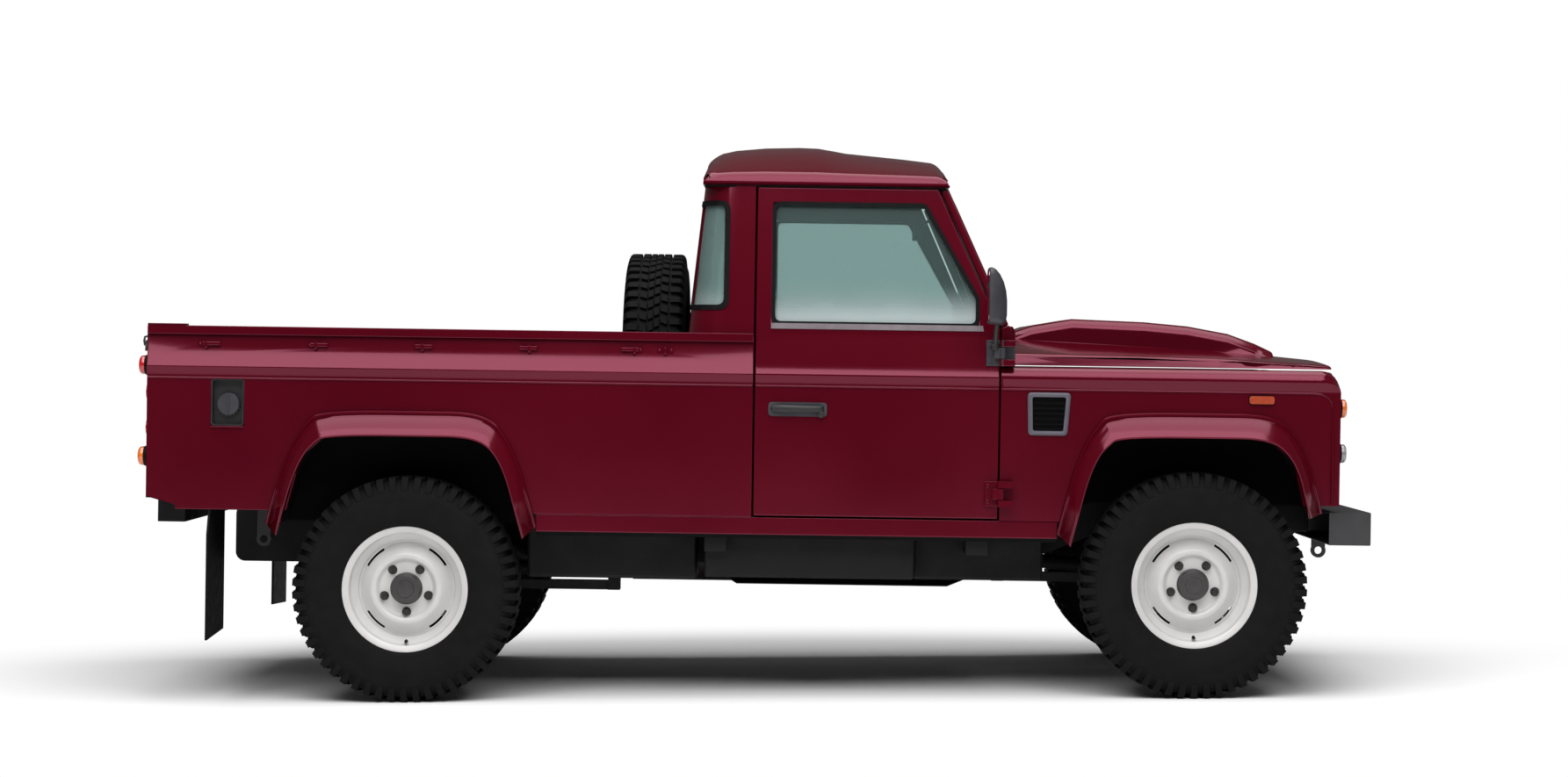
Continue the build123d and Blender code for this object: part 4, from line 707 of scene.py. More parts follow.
def wheel_hardware():
    """Hub cap, nuts with their washers, and the valve."""
    hub = bmesh.new()
    lathe(hub, [(0.0572, 0.0402), (0.0572, 0.0440), (0.0545, 0.0452), (0.0530, 0.0460), (0.0525, 0.0660),
                (0.0500, 0.0705), (0.0440, 0.0722), (0.0435, 0.0745), (0.0300, 0.0760), (0.0290, 0.0790),
                (0.0180, 0.0805), (0.0, 0.0808)], Matrix(), 48)
    for step in range(5):
        angle = 2 * pi * (step + 0.5) / 5 + pi / 2
        lathe(hub, [(0.0055, 0.0440), (0.0055, 0.0490), (0.0040, 0.0500), (0.0, 0.0500)], facing(0.0485, 0.012, angle), 6)
    nuts = bmesh.new()
    for step in range(5):
        place = facing(0.0825, 0, -pi / 2 + 2 * pi * step / 5)
        lathe(nuts, [(0.0165, 0.0402), (0.0165, 0.0420), (0.0150, 0.0432)], place, 24)
        lathe(nuts, [(0.0140, 0.0425), (0.0140, 0.0540), (0.0120, 0.0575), (0.0, 0.0580)], place, 6)
    valve = bmesh.new()
    lathe(valve, [(0.0065, 0.052), (0.0060, 0.060), (0.0045, 0.064), (0.0040, 0.078), (0.0, 0.079)],
          facing(0.1865, 0, -pi / 2), 12)
    return hub, nuts, valve


def brake():
    """Brake disc and the back of the hub."""
    shape = bmesh.new()
    back = 0.716 + 0.008 - WHEEL_Y
    lathe(shape, [(0.034, 0.033), (0.070, 0.033), (0.070, back + 0.016), (0.139, back + 0.013), (0.139, back + 0.001),
                  (0.034, back + 0.001)], Matrix(), 60, closed=True)
    return shape


WHEELS = [("front_left", AXLE_X, 1), ("front_right", AXLE_X, -1), ("rear_left", -AXLE_X, 1), ("rear_right", -AXLE_X, -1)]
for place, x, side in WHEELS + [("spare", 0, 1)]:
    spare = place == "spare"
    if spare:
        stand = Matrix.Translation((-0.540, 0, 1.2003)) @ Matrix.Rotation(radians(90), 4, "Z")
        body, tyre_node, wheel_node = "chassis", "spare_tyre", "spare_wheel"
    else:
        stand = ON_ROAD @ Matrix.Translation((x, side * WHEEL_Y, TYRE_RADIUS))
        if side < 0:
            stand = stand @ Matrix.Diagonal((1, -1, 1, 1))
        body, tyre_node, wheel_node = "wheel_" + place, "tyre_" + place, "wheel_" + place
    hub, nuts, valve = wheel_hardware()
    tread = ring_of(tread_sector(), PITCHES, tyre_rubber, "tread_" + place)
    parts = [("casing", casing(), tyre_rubber, "tyre_rubber", [tyre_node], 40),
             ("tread", tread, tyre_rubber, "tyre_rubber", [], 30),
             ("pressed_wheel", wheel_metal(), wheel_paint, "wheel_paint", [wheel_node], 50),
             ("valve", valve, flap_rubber, None, [], 40)]
    if spare:
        hub.free()
        nuts.free()
    else:
        parts += [("hub_cap", hub, hub_grey, None, [], 30), ("nuts", nuts, nut_steel, None, [], 30),
                  ("brake_disc", brake(), cast_metal, None, [], 30)]
    for kind, shape, paint, slot, instead, angle in parts:
        shape.transform(stand)
        make(f"{kind}_{place}", shape, paint, body, instead, sprung=spare, angle=angle)


# Waist bead: half-round strip under the swage, on the tub, the doors and the wings, turning down the nose
def waist_bead(side, place):
    half = side * (side_at(1.113) + 0.0005)
    for name, body, line in (
        ("tub", "chassis", [(-2.304, 1.113), (-0.166, 1.113)]),
        ("door", "door_" + place, [(-0.154, 1.113), (0.705, 1.113)]),
        ("wing", "chassis", [(0.717, 1.113), (1.820, 1.113), (1.850, 1.110), (1.872, 1.100), (1.885, 1.082),
                             (1.889, 1.058), (1.889, 0.720)]),
    ):
        shape = bmesh.new()
        tube(shape, [(x, half, z) for x, z in line], 0.0042, 8)
        make(f"waist_bead_{name}_{place}", shape, body_paint, body, angle=60)


both_sides(waist_bead)


# Door furniture: lever handle on a moulded plate, cast hinges with their bolts, mirror on its arm
HINGE_X, HINGE_Y = 0.716, 0.864


def bolt_head(shape, x, y, z, side, radius=0.0065, high=0.005):
    """Hexagon head standing off a side panel."""
    turn = Matrix.Translation((x, y, z)) @ Matrix.Diagonal((1, side, 1, 1))
    lathe(shape, [(radius * 1.35, 0.0), (radius * 1.35, 0.0012), (radius * 0.98, 0.0013), (radius, high * 0.8),
                  (radius * 0.8, high), (0.0, high)], turn, 12)


def hinge(side, z, tall):
    """Leaves, barrel and bolts of one door hinge, as two shapes: on the door and on the body."""
    on_door = bmesh.new()
    box(on_door, HINGE_X - 0.056, HINGE_X - 0.004, side * 0.834, side * 0.842, z - tall, z + tall)
    box(on_door, HINGE_X - 0.030, HINGE_X, side * 0.840, side * 0.868, z - 0.019, z + 0.019)
    soften(on_door, 0.002, 2, 0.005)
    lathe(on_door, [(0.0, -0.0195), (0.011, -0.0195), (0.0112, 0.0195), (0.0, 0.0195)],
          Matrix.Translation((HINGE_X, side * HINGE_Y, z)) @ Matrix.Rotation(radians(90), 4, "X"), 24)
    for up in (-1, 1):
        bolt_head(on_door, HINGE_X - 0.044, side * 0.842, z + up * tall * 0.62, side)
    on_body = bmesh.new()
    box(on_body, HINGE_X + 0.008, HINGE_X + 0.046, side * 0.834, side * 0.842, z - tall, z + tall)
    for up in (-1, 1):
        box(on_body, HINGE_X + 0.002, HINGE_X + 0.032, side * 0.840, side * 0.868, z + up * 0.034 - 0.012,
            z + up * 0.034 + 0.012)
    soften(on_body, 0.002, 2, 0.005)
    for up in (-1, 1):
        lathe(on_body, [(0.0, -0.012), (0.011, -0.012), (0.011, 0.012), (0.0, 0.012)],
              Matrix.Translation((HINGE_X, side * HINGE_Y, z + up * 0.034)) @ Matrix.Rotation(radians(90), 4, "X"), 24)
        bolt_head(on_body, HINGE_X + 0.034, side * 0.842, z + up * tall * 0.62, side)
    return on_door, on_body


def mirror_outline(scale, x, drop):
    """Rounded face of the mirror head, in the plane across the truck."""
    wide, high = 0.070 * scale, 0.099 * scale
    corners = [(-wide, -high), (wide, -high), (wide * 0.94, high), (-wide * 0.94, high)]
    return [(x, at.x, at.y - drop) for at in rounded(corners, 0.030 * scale, 6)]


def door_furniture(side, place):
    body = "door_" + place
    for name, z, tall, paint in (("upper", 1.240, 0.046, grey_plastic), ("lower", 0.742, 0.044, body_paint)):
        on_door, on_body = hinge(side, z, tall)
        make(f"hinge_{name}_door_leaf_{place}", on_door, paint, body)
        make(f"hinge_{name}_body_leaf_{place}", on_body, paint, "chassis")
    shape = bmesh.new()
    plate = rounded([(-0.108, 1.006), (0.099, 1.006), (0.099, 1.056), (-0.108, 1.056)], 0.014)
    prism(shape, [(at.x, side * 0.834, at.y) for at in plate], (0, side * 0.0055, 0))
    make("handle_plate_" + place, shape, grey_plastic, body)
    shape = bmesh.new()
    rows = []
    for x, y, high, deep in ((-0.100, 0.8405, 0.006, 0.003), (-0.094, 0.8440, 0.012, 0.006), (-0.060, 0.8525, 0.014, 0.007),
                             (0.000, 0.8560, 0.012, 0.006), (0.050, 0.8545, 0.011, 0.006), (0.078, 0.8480, 0.012, 0.007),
                             (0.088, 0.8410, 0.010, 0.004)):
        row = []
        for step in range(12):
            angle = 2 * pi * step / 12
            row.append(shape.verts.new((x, side * (y + deep * cos(angle)), 1.033 + high * sin(angle))))
        rows.append(row)
    for near, far in zip(rows, rows[1:]):
        for a, b, c, d in zip(near, near[1:] + near[:1], far[1:] + far[:1], far):
            shape.faces.new((a, b, c, d))
    shape.faces.new(rows[0])
    shape.faces.new(rows[-1])
    lathe(shape, [(0.0125, 0.0), (0.0125, 0.0100), (0.0105, 0.0120), (0.0, 0.0122)],
          Matrix.Translation((0.078, side * 0.838, 1.014)) @ Matrix.Diagonal((1, side, 1, 1)), 20)
    make("handle_lever_" + place, shape, black_plastic, body, ["door_fittings_" + place], angle=50)
    shape = bmesh.new()
    tube(shape, [(0.688, side * 0.862, 1.250), (0.689, side * 0.868, 1.275), (0.690, side * 0.892, 1.318),
                 (0.692, side * 0.920, 1.352), (0.694, side * 0.935, 1.362)], 0.0085, 12)
    lathe(shape, [(0.0, -0.010), (0.013, -0.010), (0.015, -0.006), (0.015, 0.004), (0.010, 0.010), (0.0, 0.010)],
          Matrix.Translation((0.688, side * 0.862, 1.262)) @ Matrix.Rotation(radians(90), 4, "X"), 20)
    make("mirror_arm_" + place, shape, black_plastic, body, angle=50)
    shape = bmesh.new()
    rows = []
    for scale, x, drop in ((0.955, 0.6565, 0.0), (1.0, 0.660, 0.0), (1.0, 0.668, 0.0), (0.97, 0.680, 0.004),
                           (0.90, 0.694, 0.013), (0.76, 0.708, 0.026), (0.55, 0.717, 0.036), (0.28, 0.7215, 0.042)):
        outline = mirror_outline(scale, x, drop)
        rows.append([shape.verts.new((at[0], side * (0.955 + at[1]), 1.440 + at[2])) for at in outline])
    for near, far in zip(rows, rows[1:]):
        for a, b, c, d in zip(near, near[1:] + near[:1], far[1:] + far[:1], far):
            shape.faces.new((a, b, c, d))
    shape.faces.new(rows[0])
    shape.faces.new(rows[-1])
    make("mirror_head_" + place, shape, grey_plastic, body, angle=60)
    shape = bmesh.new()
    glass = [(0.6562, side * (0.955 + at[1]), 1.440 + at[2]) for at in mirror_outline(0.9, 0, 0)]
    prism(shape, glass, (-0.0006, 0, 0))
    make("mirror_glass_" + place, shape, mirror_silver, body)


both_sides(door_furniture)


# Side window: glazing rubber in the frame and a satin rail on the sill
WINDOW = [(-0.099, 1.333), (0.633, 1.333), (0.633, 1.433), (0.442, 1.767), (-0.099, 1.767)]


def on_upper(at, side, out):
    """Point of a side-view outline on the leaning upper side."""
    return (at.x, side * (upper_at(at.y) + out), at.y)


def side_window(side, place):
    body = "door_" + place
    outer = rounded(inset(WINDOW, -0.004), 0.034)
    inner = rounded(inset(WINDOW, 0.010), 0.022)
    shape = bmesh.new()
    band(shape, [on_upper(at, side, 0.0015) for at in outer], [on_upper(at, side, 0.0015) for at in inner],
         (0, -side * 0.020, 0))
    make("window_rubber_" + place, shape, flap_rubber, body)
    shape = bmesh.new()
    rail = [Vector(at) for at in ((-0.103, 1.316), (0.652, 1.316), (0.648, 1.336), (-0.103, 1.336))]
    prism(shape, [on_upper(at, side, 0.003) for at in rail], (0, -side * 0.006, 0))
    soften(shape, 0.0015, 2, 0.01)
    make("window_rail_" + place, shape, rail_grey, body)
    shape = bmesh.new()
    pull = rounded([(-0.100, 1.296), (0.700, 1.296), (0.700, 1.308), (-0.100, 1.308)], 0.003)
    make_trim = [(at.x, side * (0.815 + 0.0006), at.y) for at in pull]
    prism(shape, make_trim, (0, -side * 0.004, 0))
    make("door_cap_" + place, shape, body_paint, body)


both_sides(side_window)


# Rear and corner windows: thick filler-strip rubbers, each following the panel that it sits in
def shell_point(run, z, out, side):
    """Point on the outside of the upper cab: run goes back along the side, round the corner, to the middle."""
    rise = (z - 1.297) / 0.531
    back = -0.400 + 0.052 * rise
    half = 0.815 - 0.080 * rise
    radius = 0.130
    corner = Vector((back + radius, half - radius))
    straight = 0.262 + back + radius
    arc = radius * pi / 2
    if run < -straight:
        at, normal = Vector((-0.262 - run, half)), Vector((0, 1))
    elif run < -straight + arc:
        angle = (run + straight) / radius
        normal = Vector((-sin(angle), cos(angle)))
        at = corner + normal * radius
    else:
        at, normal = Vector((back, half - radius - (run + straight - arc))), Vector((-1, 0))
    at = at + normal * out
    return (at.x, side * at.y, z)


def stepped(outer, inner, share):
    """Outline between two others, its long runs cut into short steps so that it can bend round a corner."""
    path = []
    count = len(outer)
    for place in range(count):
        after = (place + 1) % count
        near = outer[place].lerp(inner[place], share)
        far = outer[after].lerp(inner[after], share)
        steps = max(1, int((outer[after] - outer[place]).length / 0.02))
        path += [near.lerp(far, step / steps) for step in range(steps)]
    return path


def corner_window(side, place):
    spans = [(0.004, 1.392), (0.278, 1.392), (0.278, 1.760), (0.004, 1.760)]
    outer = rounded(inset(spans, -0.012), 0.040, 6)
    inner = rounded(inset(spans, 0.006), 0.026, 6)
    shape = bmesh.new()
    loops = []
    for share, out in ((0, -0.002), (0, 0.004), (1, 0.005), (1, -0.010)):
        loops.append([shape.verts.new(shell_point(at.x, at.y, out, side)) for at in stepped(outer, inner, share)])
    for near, far in zip(loops, loops[1:]):
        for a, b, c, d in zip(near, near[1:] + near[:1], far[1:] + far[:1], far):
            shape.faces.new((a, b, c, d))
    make("corner_window_rubber_" + place, shape, flap_rubber, "chassis", angle=50)


both_sides(corner_window)

shape = bmesh.new()
opening = [(-0.490, 1.405), (0.490, 1.405), (0.490, 1.735), (-0.490, 1.735)]


def on_back(at, out):
    return (-0.400 + 0.052 * (at.y - 1.297) / 0.531 - out, at.x, at.y)


outer = rounded(inset(opening, -0.012), 0.062)
inner = rounded(inset(opening, 0.006), 0.044)
band(shape, [on_back(at, 0.005) for at in outer], [on_back(at, 0.005) for at in inner], (0.018, 0, 0))
make("rear_window_rubber", shape, flap_rubber, "chassis")

# Windscreen: rubber round the glass, two wiper arms with blades, and their spindles in the scuttle
SCREEN_UP = Vector((-0.225, 0, 0.501)).normalized()
SCREEN_OUT = Vector((0.501, 0, 0.225)).normalized()


def on_screen(y, up, out=0.0):
    return Vector((0.741, y, 1.340)) + SCREEN_UP * up + SCREEN_OUT * out


shape = bmesh.new()
hole = [(-0.752, 0.058), (0.752, 0.058), (0.684, 0.481), (-0.684, 0.481)]
outer = rounded(inset(hole, -0.010), 0.040)
inner = rounded(inset(hole, 0.008), 0.030)
band(shape, [on_screen(at.x, at.y, 0.003) for at in outer], [on_screen(at.x, at.y, 0.003) for at in inner],
     SCREEN_OUT * -0.014)
make("windscreen_rubber", shape, flap_rubber, "chassis")
shape = bmesh.new()
for pivot, reach in ((-0.46, 0.42), (0.26, 0.42)):
    lathe(shape, [(0.016, -0.004), (0.016, 0.010), (0.010, 0.018), (0.0, 0.018)],
          Matrix.Translation(on_screen(pivot, 0.018)) @ SCREEN_OUT.to_track_quat("Y", "Z").to_matrix().to_4x4(), 20)
    tip = (pivot + 0.32, 0.105)
    tube(shape, [on_screen(pivot, 0.018, 0.014), on_screen(pivot + 0.10, 0.050, 0.018),
                 on_screen(tip[0], tip[1], 0.014)], 0.0042, 8)
    tube(shape, [on_screen(tip[0] - 0.19, tip[1] - 0.030, 0.004), on_screen(tip[0], tip[1] - 0.004, 0.010),
                 on_screen(tip[0] + 0.17, tip[1] + 0.014, 0.004)], 0.0038, 8)
make("wipers", shape, black_plastic, "chassis")

# Roof gutter, and under it a dark rubber strip that is the roof joint and also paints the gutter's shadow
shape = bmesh.new()
for side in (1, -1):
    box(shape, -0.352, 0.523, side * 0.730, side * 0.7445, 1.8285, 1.8335)
    box(shape, -0.352, 0.523, side * 0.7415, side * 0.7445, 1.8285, 1.8420)
box(shape, 0.519, 0.5275, -0.742, 0.742, 1.8285, 1.8360)
soften(shape, 0.001, 2)
make("roof_gutter", shape, body_paint, "chassis")
# Dark rubber strip under the gutter: the roof joint, and painted shadow of the gutter
shape = bmesh.new()
for side in (1, -1):
    box(shape, -0.346, 0.512, side * 0.712, side * 0.7345, 1.8215, 1.8285)
box(shape, -0.347, -0.335, -0.700, 0.700, 1.8215, 1.8285)
make("gutter_joint_and_shadow", shape, flap_rubber, "chassis")

# Tub rim: pressed corner caps, and rope cleats with rivets
CLEATS = [-2.100, -1.712, -1.335, -0.957, -0.585, -0.475]


def rim_furniture(side, place):
    shape = bmesh.new()
    cap = rounded([(-2.307, 0.788), (-2.170, 0.788), (-2.170, 0.8395), (-2.307, 0.8395)], 0.006)
    prism(shape, [(at.x, side * at.y, 1.2965) for at in cap], (0, 0, 0.007))
    soften(shape, 0.002, 2, 0.004)
    make("rim_cap_" + place, shape, body_paint, "chassis")
    shape = bmesh.new()
    for x in CLEATS:
        half = side_at(1.232)
        base = rounded([(x - 0.030, 1.222), (x + 0.030, 1.222), (x + 0.030, 1.246), (x - 0.030, 1.246)], 0.010)
        prism(shape, [(at.x, side * (half - 0.003), at.y) for at in base], (0, side * 0.007, 0))
        tube(shape, [(x, side * (half + 0.002), 1.240), (x, side * (half + 0.012), 1.238), (x, side * (half + 0.014), 1.228),
                     (x, side * (half + 0.012), 1.220)], 0.0055, 8)
        for end in (-0.021, 0.021):
            lathe(shape, [(0.0042, 0.0), (0.0038, 0.0018), (0.0022, 0.0030), (0.0, 0.0034)],
                  Matrix.Translation((x + end, side * (half + 0.004), 1.234)) @ Matrix.Diagonal((1, side, 1, 1)), 10)
    make("rope_cleats_" + place, shape, body_paint, "chassis")


both_sides(rim_furniture)

# Fuel filler: moulded pocket, threaded neck and ribbed cap, with a drip lip under the opening
x0, x1, z0, z1 = -2.079, -1.964, 0.944, 1.110
side_y = -side_at(1.03)
shape = bmesh.new()
mouth = rounded([(x0, z0), (x1, z0), (x1, z1), (x0, z1)], 0.012)
small = rounded([(x0 + 0.004, z0 + 0.004), (x1 - 0.004, z0 + 0.004), (x1 - 0.004, z1 - 0.004), (x0 + 0.004, z1 - 0.004)],
                0.010)
loops = []
for outline, y in ((mouth, side_y - 0.0015), (small, side_y - 0.0015), (small, -0.8045)):
    loops.append([shape.verts.new((at.x, y, at.y)) for at in outline])
for near, far in zip(loops, loops[1:]):
    for a, b, c, d in zip(near, near[1:] + near[:1], far[1:] + far[:1], far):
        shape.faces.new((a, b, c, d))
shape.faces.new(loops[-1])
make("filler_pocket", shape, black_plastic, "chassis", fresh=False)
shape = bmesh.new()
outward = Matrix.Translation((-2.0215, -0.804, 1.020)) @ Matrix.Diagonal((1, -1, 1, 1))
lathe(shape, [(0.036, 0.0), (0.036, 0.006), (0.040, 0.007), (0.040, 0.017), (0.037, 0.020), (0.0, 0.020)], outward, 36)
box(shape, -2.0245, -2.0185, -0.828, -0.822, 0.990, 1.050)
for step in range(18):
    angle = 2 * pi * step / 18
    box(shape, -2.0215 + 0.0405 * cos(angle) - 0.002, -2.0215 + 0.0405 * cos(angle) + 0.002, -0.820, -0.812,
        1.020 + 0.0405 * sin(angle) - 0.002, 1.020 + 0.0405 * sin(angle) + 0.002)
make("filler_cap", shape, grey_plastic, "chassis", ["fuel_filler"])
shape = bmesh.new()
box(shape, x0 - 0.002, x1 + 0.002, side_y - 0.006, side_y + 0.002, z0 - 0.006, z0 - 0.001)
soften(shape, 0.0015, 2, 0.004)
make("filler_lip", shape, body_paint, "chassis")

# Round rear lamps on black bases: stop lamp above, amber below, flat reflectors between
FACING_BACK = Matrix.Rotation(radians(90), 4, "Z")
FACING_FRONT = Matrix.Rotation(radians(-90), 4, "Z")


def rear_lamps(side, place):
    for name, z, paint in (("stop", 1.155, lamp_red), ("turn", 0.832, lamp_amber)):
        shape = bmesh.new()
        stand = Matrix.Translation((-2.308, side * 0.797, z)) @ FACING_BACK
        lathe(shape, [(0.0335, 0.010), (0.0335, 0.020), (0.0325, 0.022), (0.0320, 0.026), (0.0280, 0.0300),
                      (0.0200, 0.0315), (0.0, 0.0318)], stand, 40)
        for ring in (0.012, 0.018, 0.024):
            lathe(shape, [(ring - 0.001, 0.0312), (ring, 0.0324 - ring * 0.03), (ring + 0.001, 0.0310)], stand, 40)
        instead = ["rear_lamps"] if side > 0 and name == "stop" else []
        make(f"rear_lamp_{name}_{place}", shape, paint, "chassis", instead, angle=50)
        shape = bmesh.new()
        lathe(shape, [(0.036, 0.0), (0.036, 0.008), (0.034, 0.012), (0.0, 0.012)], stand, 40)
        make(f"rear_lamp_{name}_base_{place}", shape, flap_rubber, "chassis")
    shape = bmesh.new()
    for z in (1.060, 0.934):
        stand = Matrix.Translation((-2.308, side * 0.797, z)) @ FACING_BACK
        lathe(shape, [(0.028, 0.0), (0.028, 0.0035), (0.026, 0.005), (0.0, 0.005)], stand, 32)
    make("rear_reflectors_" + place, shape, lamp_red, "chassis")


both_sides(rear_lamps)


# Headlamps with silvered bowls behind clear glass, side lamps and flank repeaters
def front_lamps(side, place):
    stand = Matrix.Translation((1.917, side * 0.600, 0.975)) @ FACING_FRONT
    shape = bmesh.new()
    lathe(shape, [(0.089, -0.001), (0.089, 0.008), (0.087, 0.013), (0.083, 0.016), (0.079, 0.015), (0.078, 0.010),
                  (0.078, -0.001)], stand, 64)
    make("headlamp_ring_" + place, shape, black_plastic, "chassis", angle=60)
    shape = bmesh.new()
    lathe(shape, [(0.0775, 0.013), (0.0700, 0.009), (0.0500, 0.0035), (0.0300, 0.0012), (0.0120, 0.0006), (0.0110, 0.008),
                  (0.0, 0.0085)], stand, 64)
    make("headlamp_bowl_" + place, shape, mirror_silver, "chassis", angle=50)
    shape = bmesh.new()
    lathe(shape, [(0.0780, 0.0135), (0.0740, 0.0170), (0.0600, 0.0205), (0.0400, 0.0228), (0.0200, 0.0238), (0.0, 0.0240)],
          stand, 64)
    instead = ["front_lamps"] if side > 0 else []
    make("headlamp_glass_" + place, shape, lamp_clear, "chassis", instead, angle=60)
    for name, z, paint in (("turn", 1.060, lamp_amber), ("side", 0.900, lamp_clear)):
        stand = Matrix.Translation((1.917, side * 0.775, z)) @ FACING_FRONT
        shape = bmesh.new()
        lathe(shape, [(0.0365, 0.0), (0.0365, 0.008), (0.034, 0.011), (0.0, 0.011)], stand, 40)
        make(f"front_lamp_{name}_base_{place}", shape, flap_rubber, "chassis")
        shape = bmesh.new()
        lathe(shape, [(0.0330, 0.010), (0.0330, 0.020), (0.0315, 0.0245), (0.0260, 0.0280), (0.0150, 0.0295),
                      (0.0, 0.0298)], stand, 40)
        make(f"front_lamp_{name}_{place}", shape, paint, "chassis", angle=50)
    shape = bmesh.new()
    half = side_at(1.087)
    outline = rounded([(1.589, 1.070), (1.683, 1.070), (1.683, 1.104), (1.589, 1.104)], 0.012)
    prism(shape, [(at.x, side * (half - 0.001), at.y) for at in outline], (0, side * 0.004, 0))
    make("repeater_base_" + place, shape, flap_rubber, "chassis")
    shape = bmesh.new()
    lens_line = rounded([(1.592, 1.073), (1.680, 1.073), (1.680, 1.101), (1.592, 1.101)], 0.010)
    prism(shape, [(at.x, side * (half + 0.002), at.y) for at in lens_line], (0, side * 0.010, 0))
    soften(shape, 0.004, 3, 0.001)
    make("repeater_lens_" + place, shape, repeater_amber, "chassis", angle=50)


both_sides(front_lamps)

# Wing vents: grey moulded surround, black mesh and slats behind
VENT = [(0.812, 0.951), (0.950, 0.951), (0.962, 1.103), (0.808, 1.103)]


def wing_vent(side, place):
    shape = bmesh.new()
    outer = rounded(VENT, 0.016)
    mid = rounded(inset(VENT, 0.006), 0.014)
    inner = rounded(inset(VENT, 0.016), 0.008)
    loops = []
    for outline, out in ((outer, 0.0), (outer, 0.007), (mid, 0.012), (inner, 0.010), (inner, 0.0)):
        loops.append([shape.verts.new((at.x, side * (side_at(at.y) + out), at.y)) for at in outline])
    for near, far in zip(loops, loops[1:]):
        for a, b, c, d in zip(near, near[1:] + near[:1], far[1:] + far[:1], far):
            shape.faces.new((a, b, c, d))
    instead = ["wing_vents"] if side > 0 else []
    make("vent_frame_" + place, shape, vent_grey, "chassis", instead, angle=40)
    shape = bmesh.new()
    prism(shape, [(at.x, side * (side_at(at.y) - 0.001), at.y) for at in rounded(inset(VENT, 0.014), 0.008)],
          (0, side * 0.002, 0))
    for number in range(7):
        z = 0.972 + number * 0.0185
        slant = Matrix.Rotation(radians(-35 * side), 4, "X")
        box(shape, 0.828, 0.946, side * (side_at(z) + 0.001), side * (side_at(z) + 0.009), z - 0.0012, z + 0.0012, slant)
    make("vent_slats_" + place, shape, pocket_black, "chassis")


both_sides(wing_vent)


# Wheel-arch liners, black and dull, inside the openings
def arch_liner(side, place):
    for end, wheel_x, top in ARCHES:
        line = arch_line(wheel_x, OPENING_HALF + 0.009, (0.366, top - 0.076), 0.274, top + 0.008, 0.600,
                         0.700 if end == "front" else 0.0)
        inner_y = 0.650 if end == "front" else 0.584
        outer_y = 0.826
        shape = bmesh.new()
        rows = [[shape.verts.new((at.x, side * y, at.z)) for at in line] for y in (inner_y, outer_y)]
        for a, b, c, d in zip(rows[0], rows[0][1:], rows[1][1:], rows[1]):
            shape.faces.new((a, b, c, d))
        if end == "rear":
            shape.faces.new(rows[0])
        piece = make(f"arch_liner_{end}_{place}", shape, pocket_black, "chassis")
        wall = piece.modifiers.new("wall", "SOLIDIFY")
        wall.thickness = 0.002


both_sides(arch_liner)

# Bumper: closed ends, and two bolts through its face at each iron
shape = bmesh.new()
for side in (1, -1):
    end = rounded([(1.889, 0.575), (2.037, 0.575), (2.037, 0.691), (1.889, 0.691)], 0.005)
    prism(shape, [(at.x, side * 0.7895, at.y) for at in end], (0, side * 0.003, 0))
    for z in (0.608, 0.662):
        lathe(shape, [(0.014, -0.001), (0.014, 0.0005), (0.0, 0.0005)],
              Matrix.Translation((2.037, side * 0.36, z)) @ FACING_FRONT, 6)
soften(shape, 0.0012, 2, 0.02)
make("bumper_ends", shape, bumper_grey, "chassis")

# Inner wings: flat black sheets between the engine bay and the front wheels
shape = bmesh.new()
for side in (1, -1):
    box(shape, 0.930, 1.900, side * 0.452, side * 0.455, 0.700, 1.140)
make("inner_wings", shape, pocket_black, "chassis")

# Under the cab: tool lockers below the seats, the gearbox guard, and the tub bearers' closing plates
shape = bmesh.new()
for side in (1, -1):
    box(shape, -0.330, 0.420, side * 0.392, side * 0.740, 0.426, 0.640)
    box(shape, -0.972, -0.360, side * 0.400, side * 0.612, 0.408, 0.700)
    box(shape, 0.420, 0.890, side * 0.392, side * 0.600, 0.418, 0.640)
soften(shape, 0.012, 3, 0.05)
make("under_floor_lockers", shape, chassis_black, "chassis")
shape = bmesh.new()
guard = [(-0.300, 0.420), (-0.220, 0.372), (0.560, 0.372), (0.700, 0.430), (0.700, 0.434), (0.560, 0.376), (-0.220, 0.376),
         (-0.300, 0.424)]
prism(shape, [(x, -0.300, z) for x, z in guard], (0, 0.600, 0))
box(shape, -0.300, 0.700, -0.300, -0.296, 0.424, 0.560)
box(shape, -0.300, 0.700, 0.296, 0.300, 0.424, 0.560)
make("gearbox_guard", shape, chassis_black, "chassis")


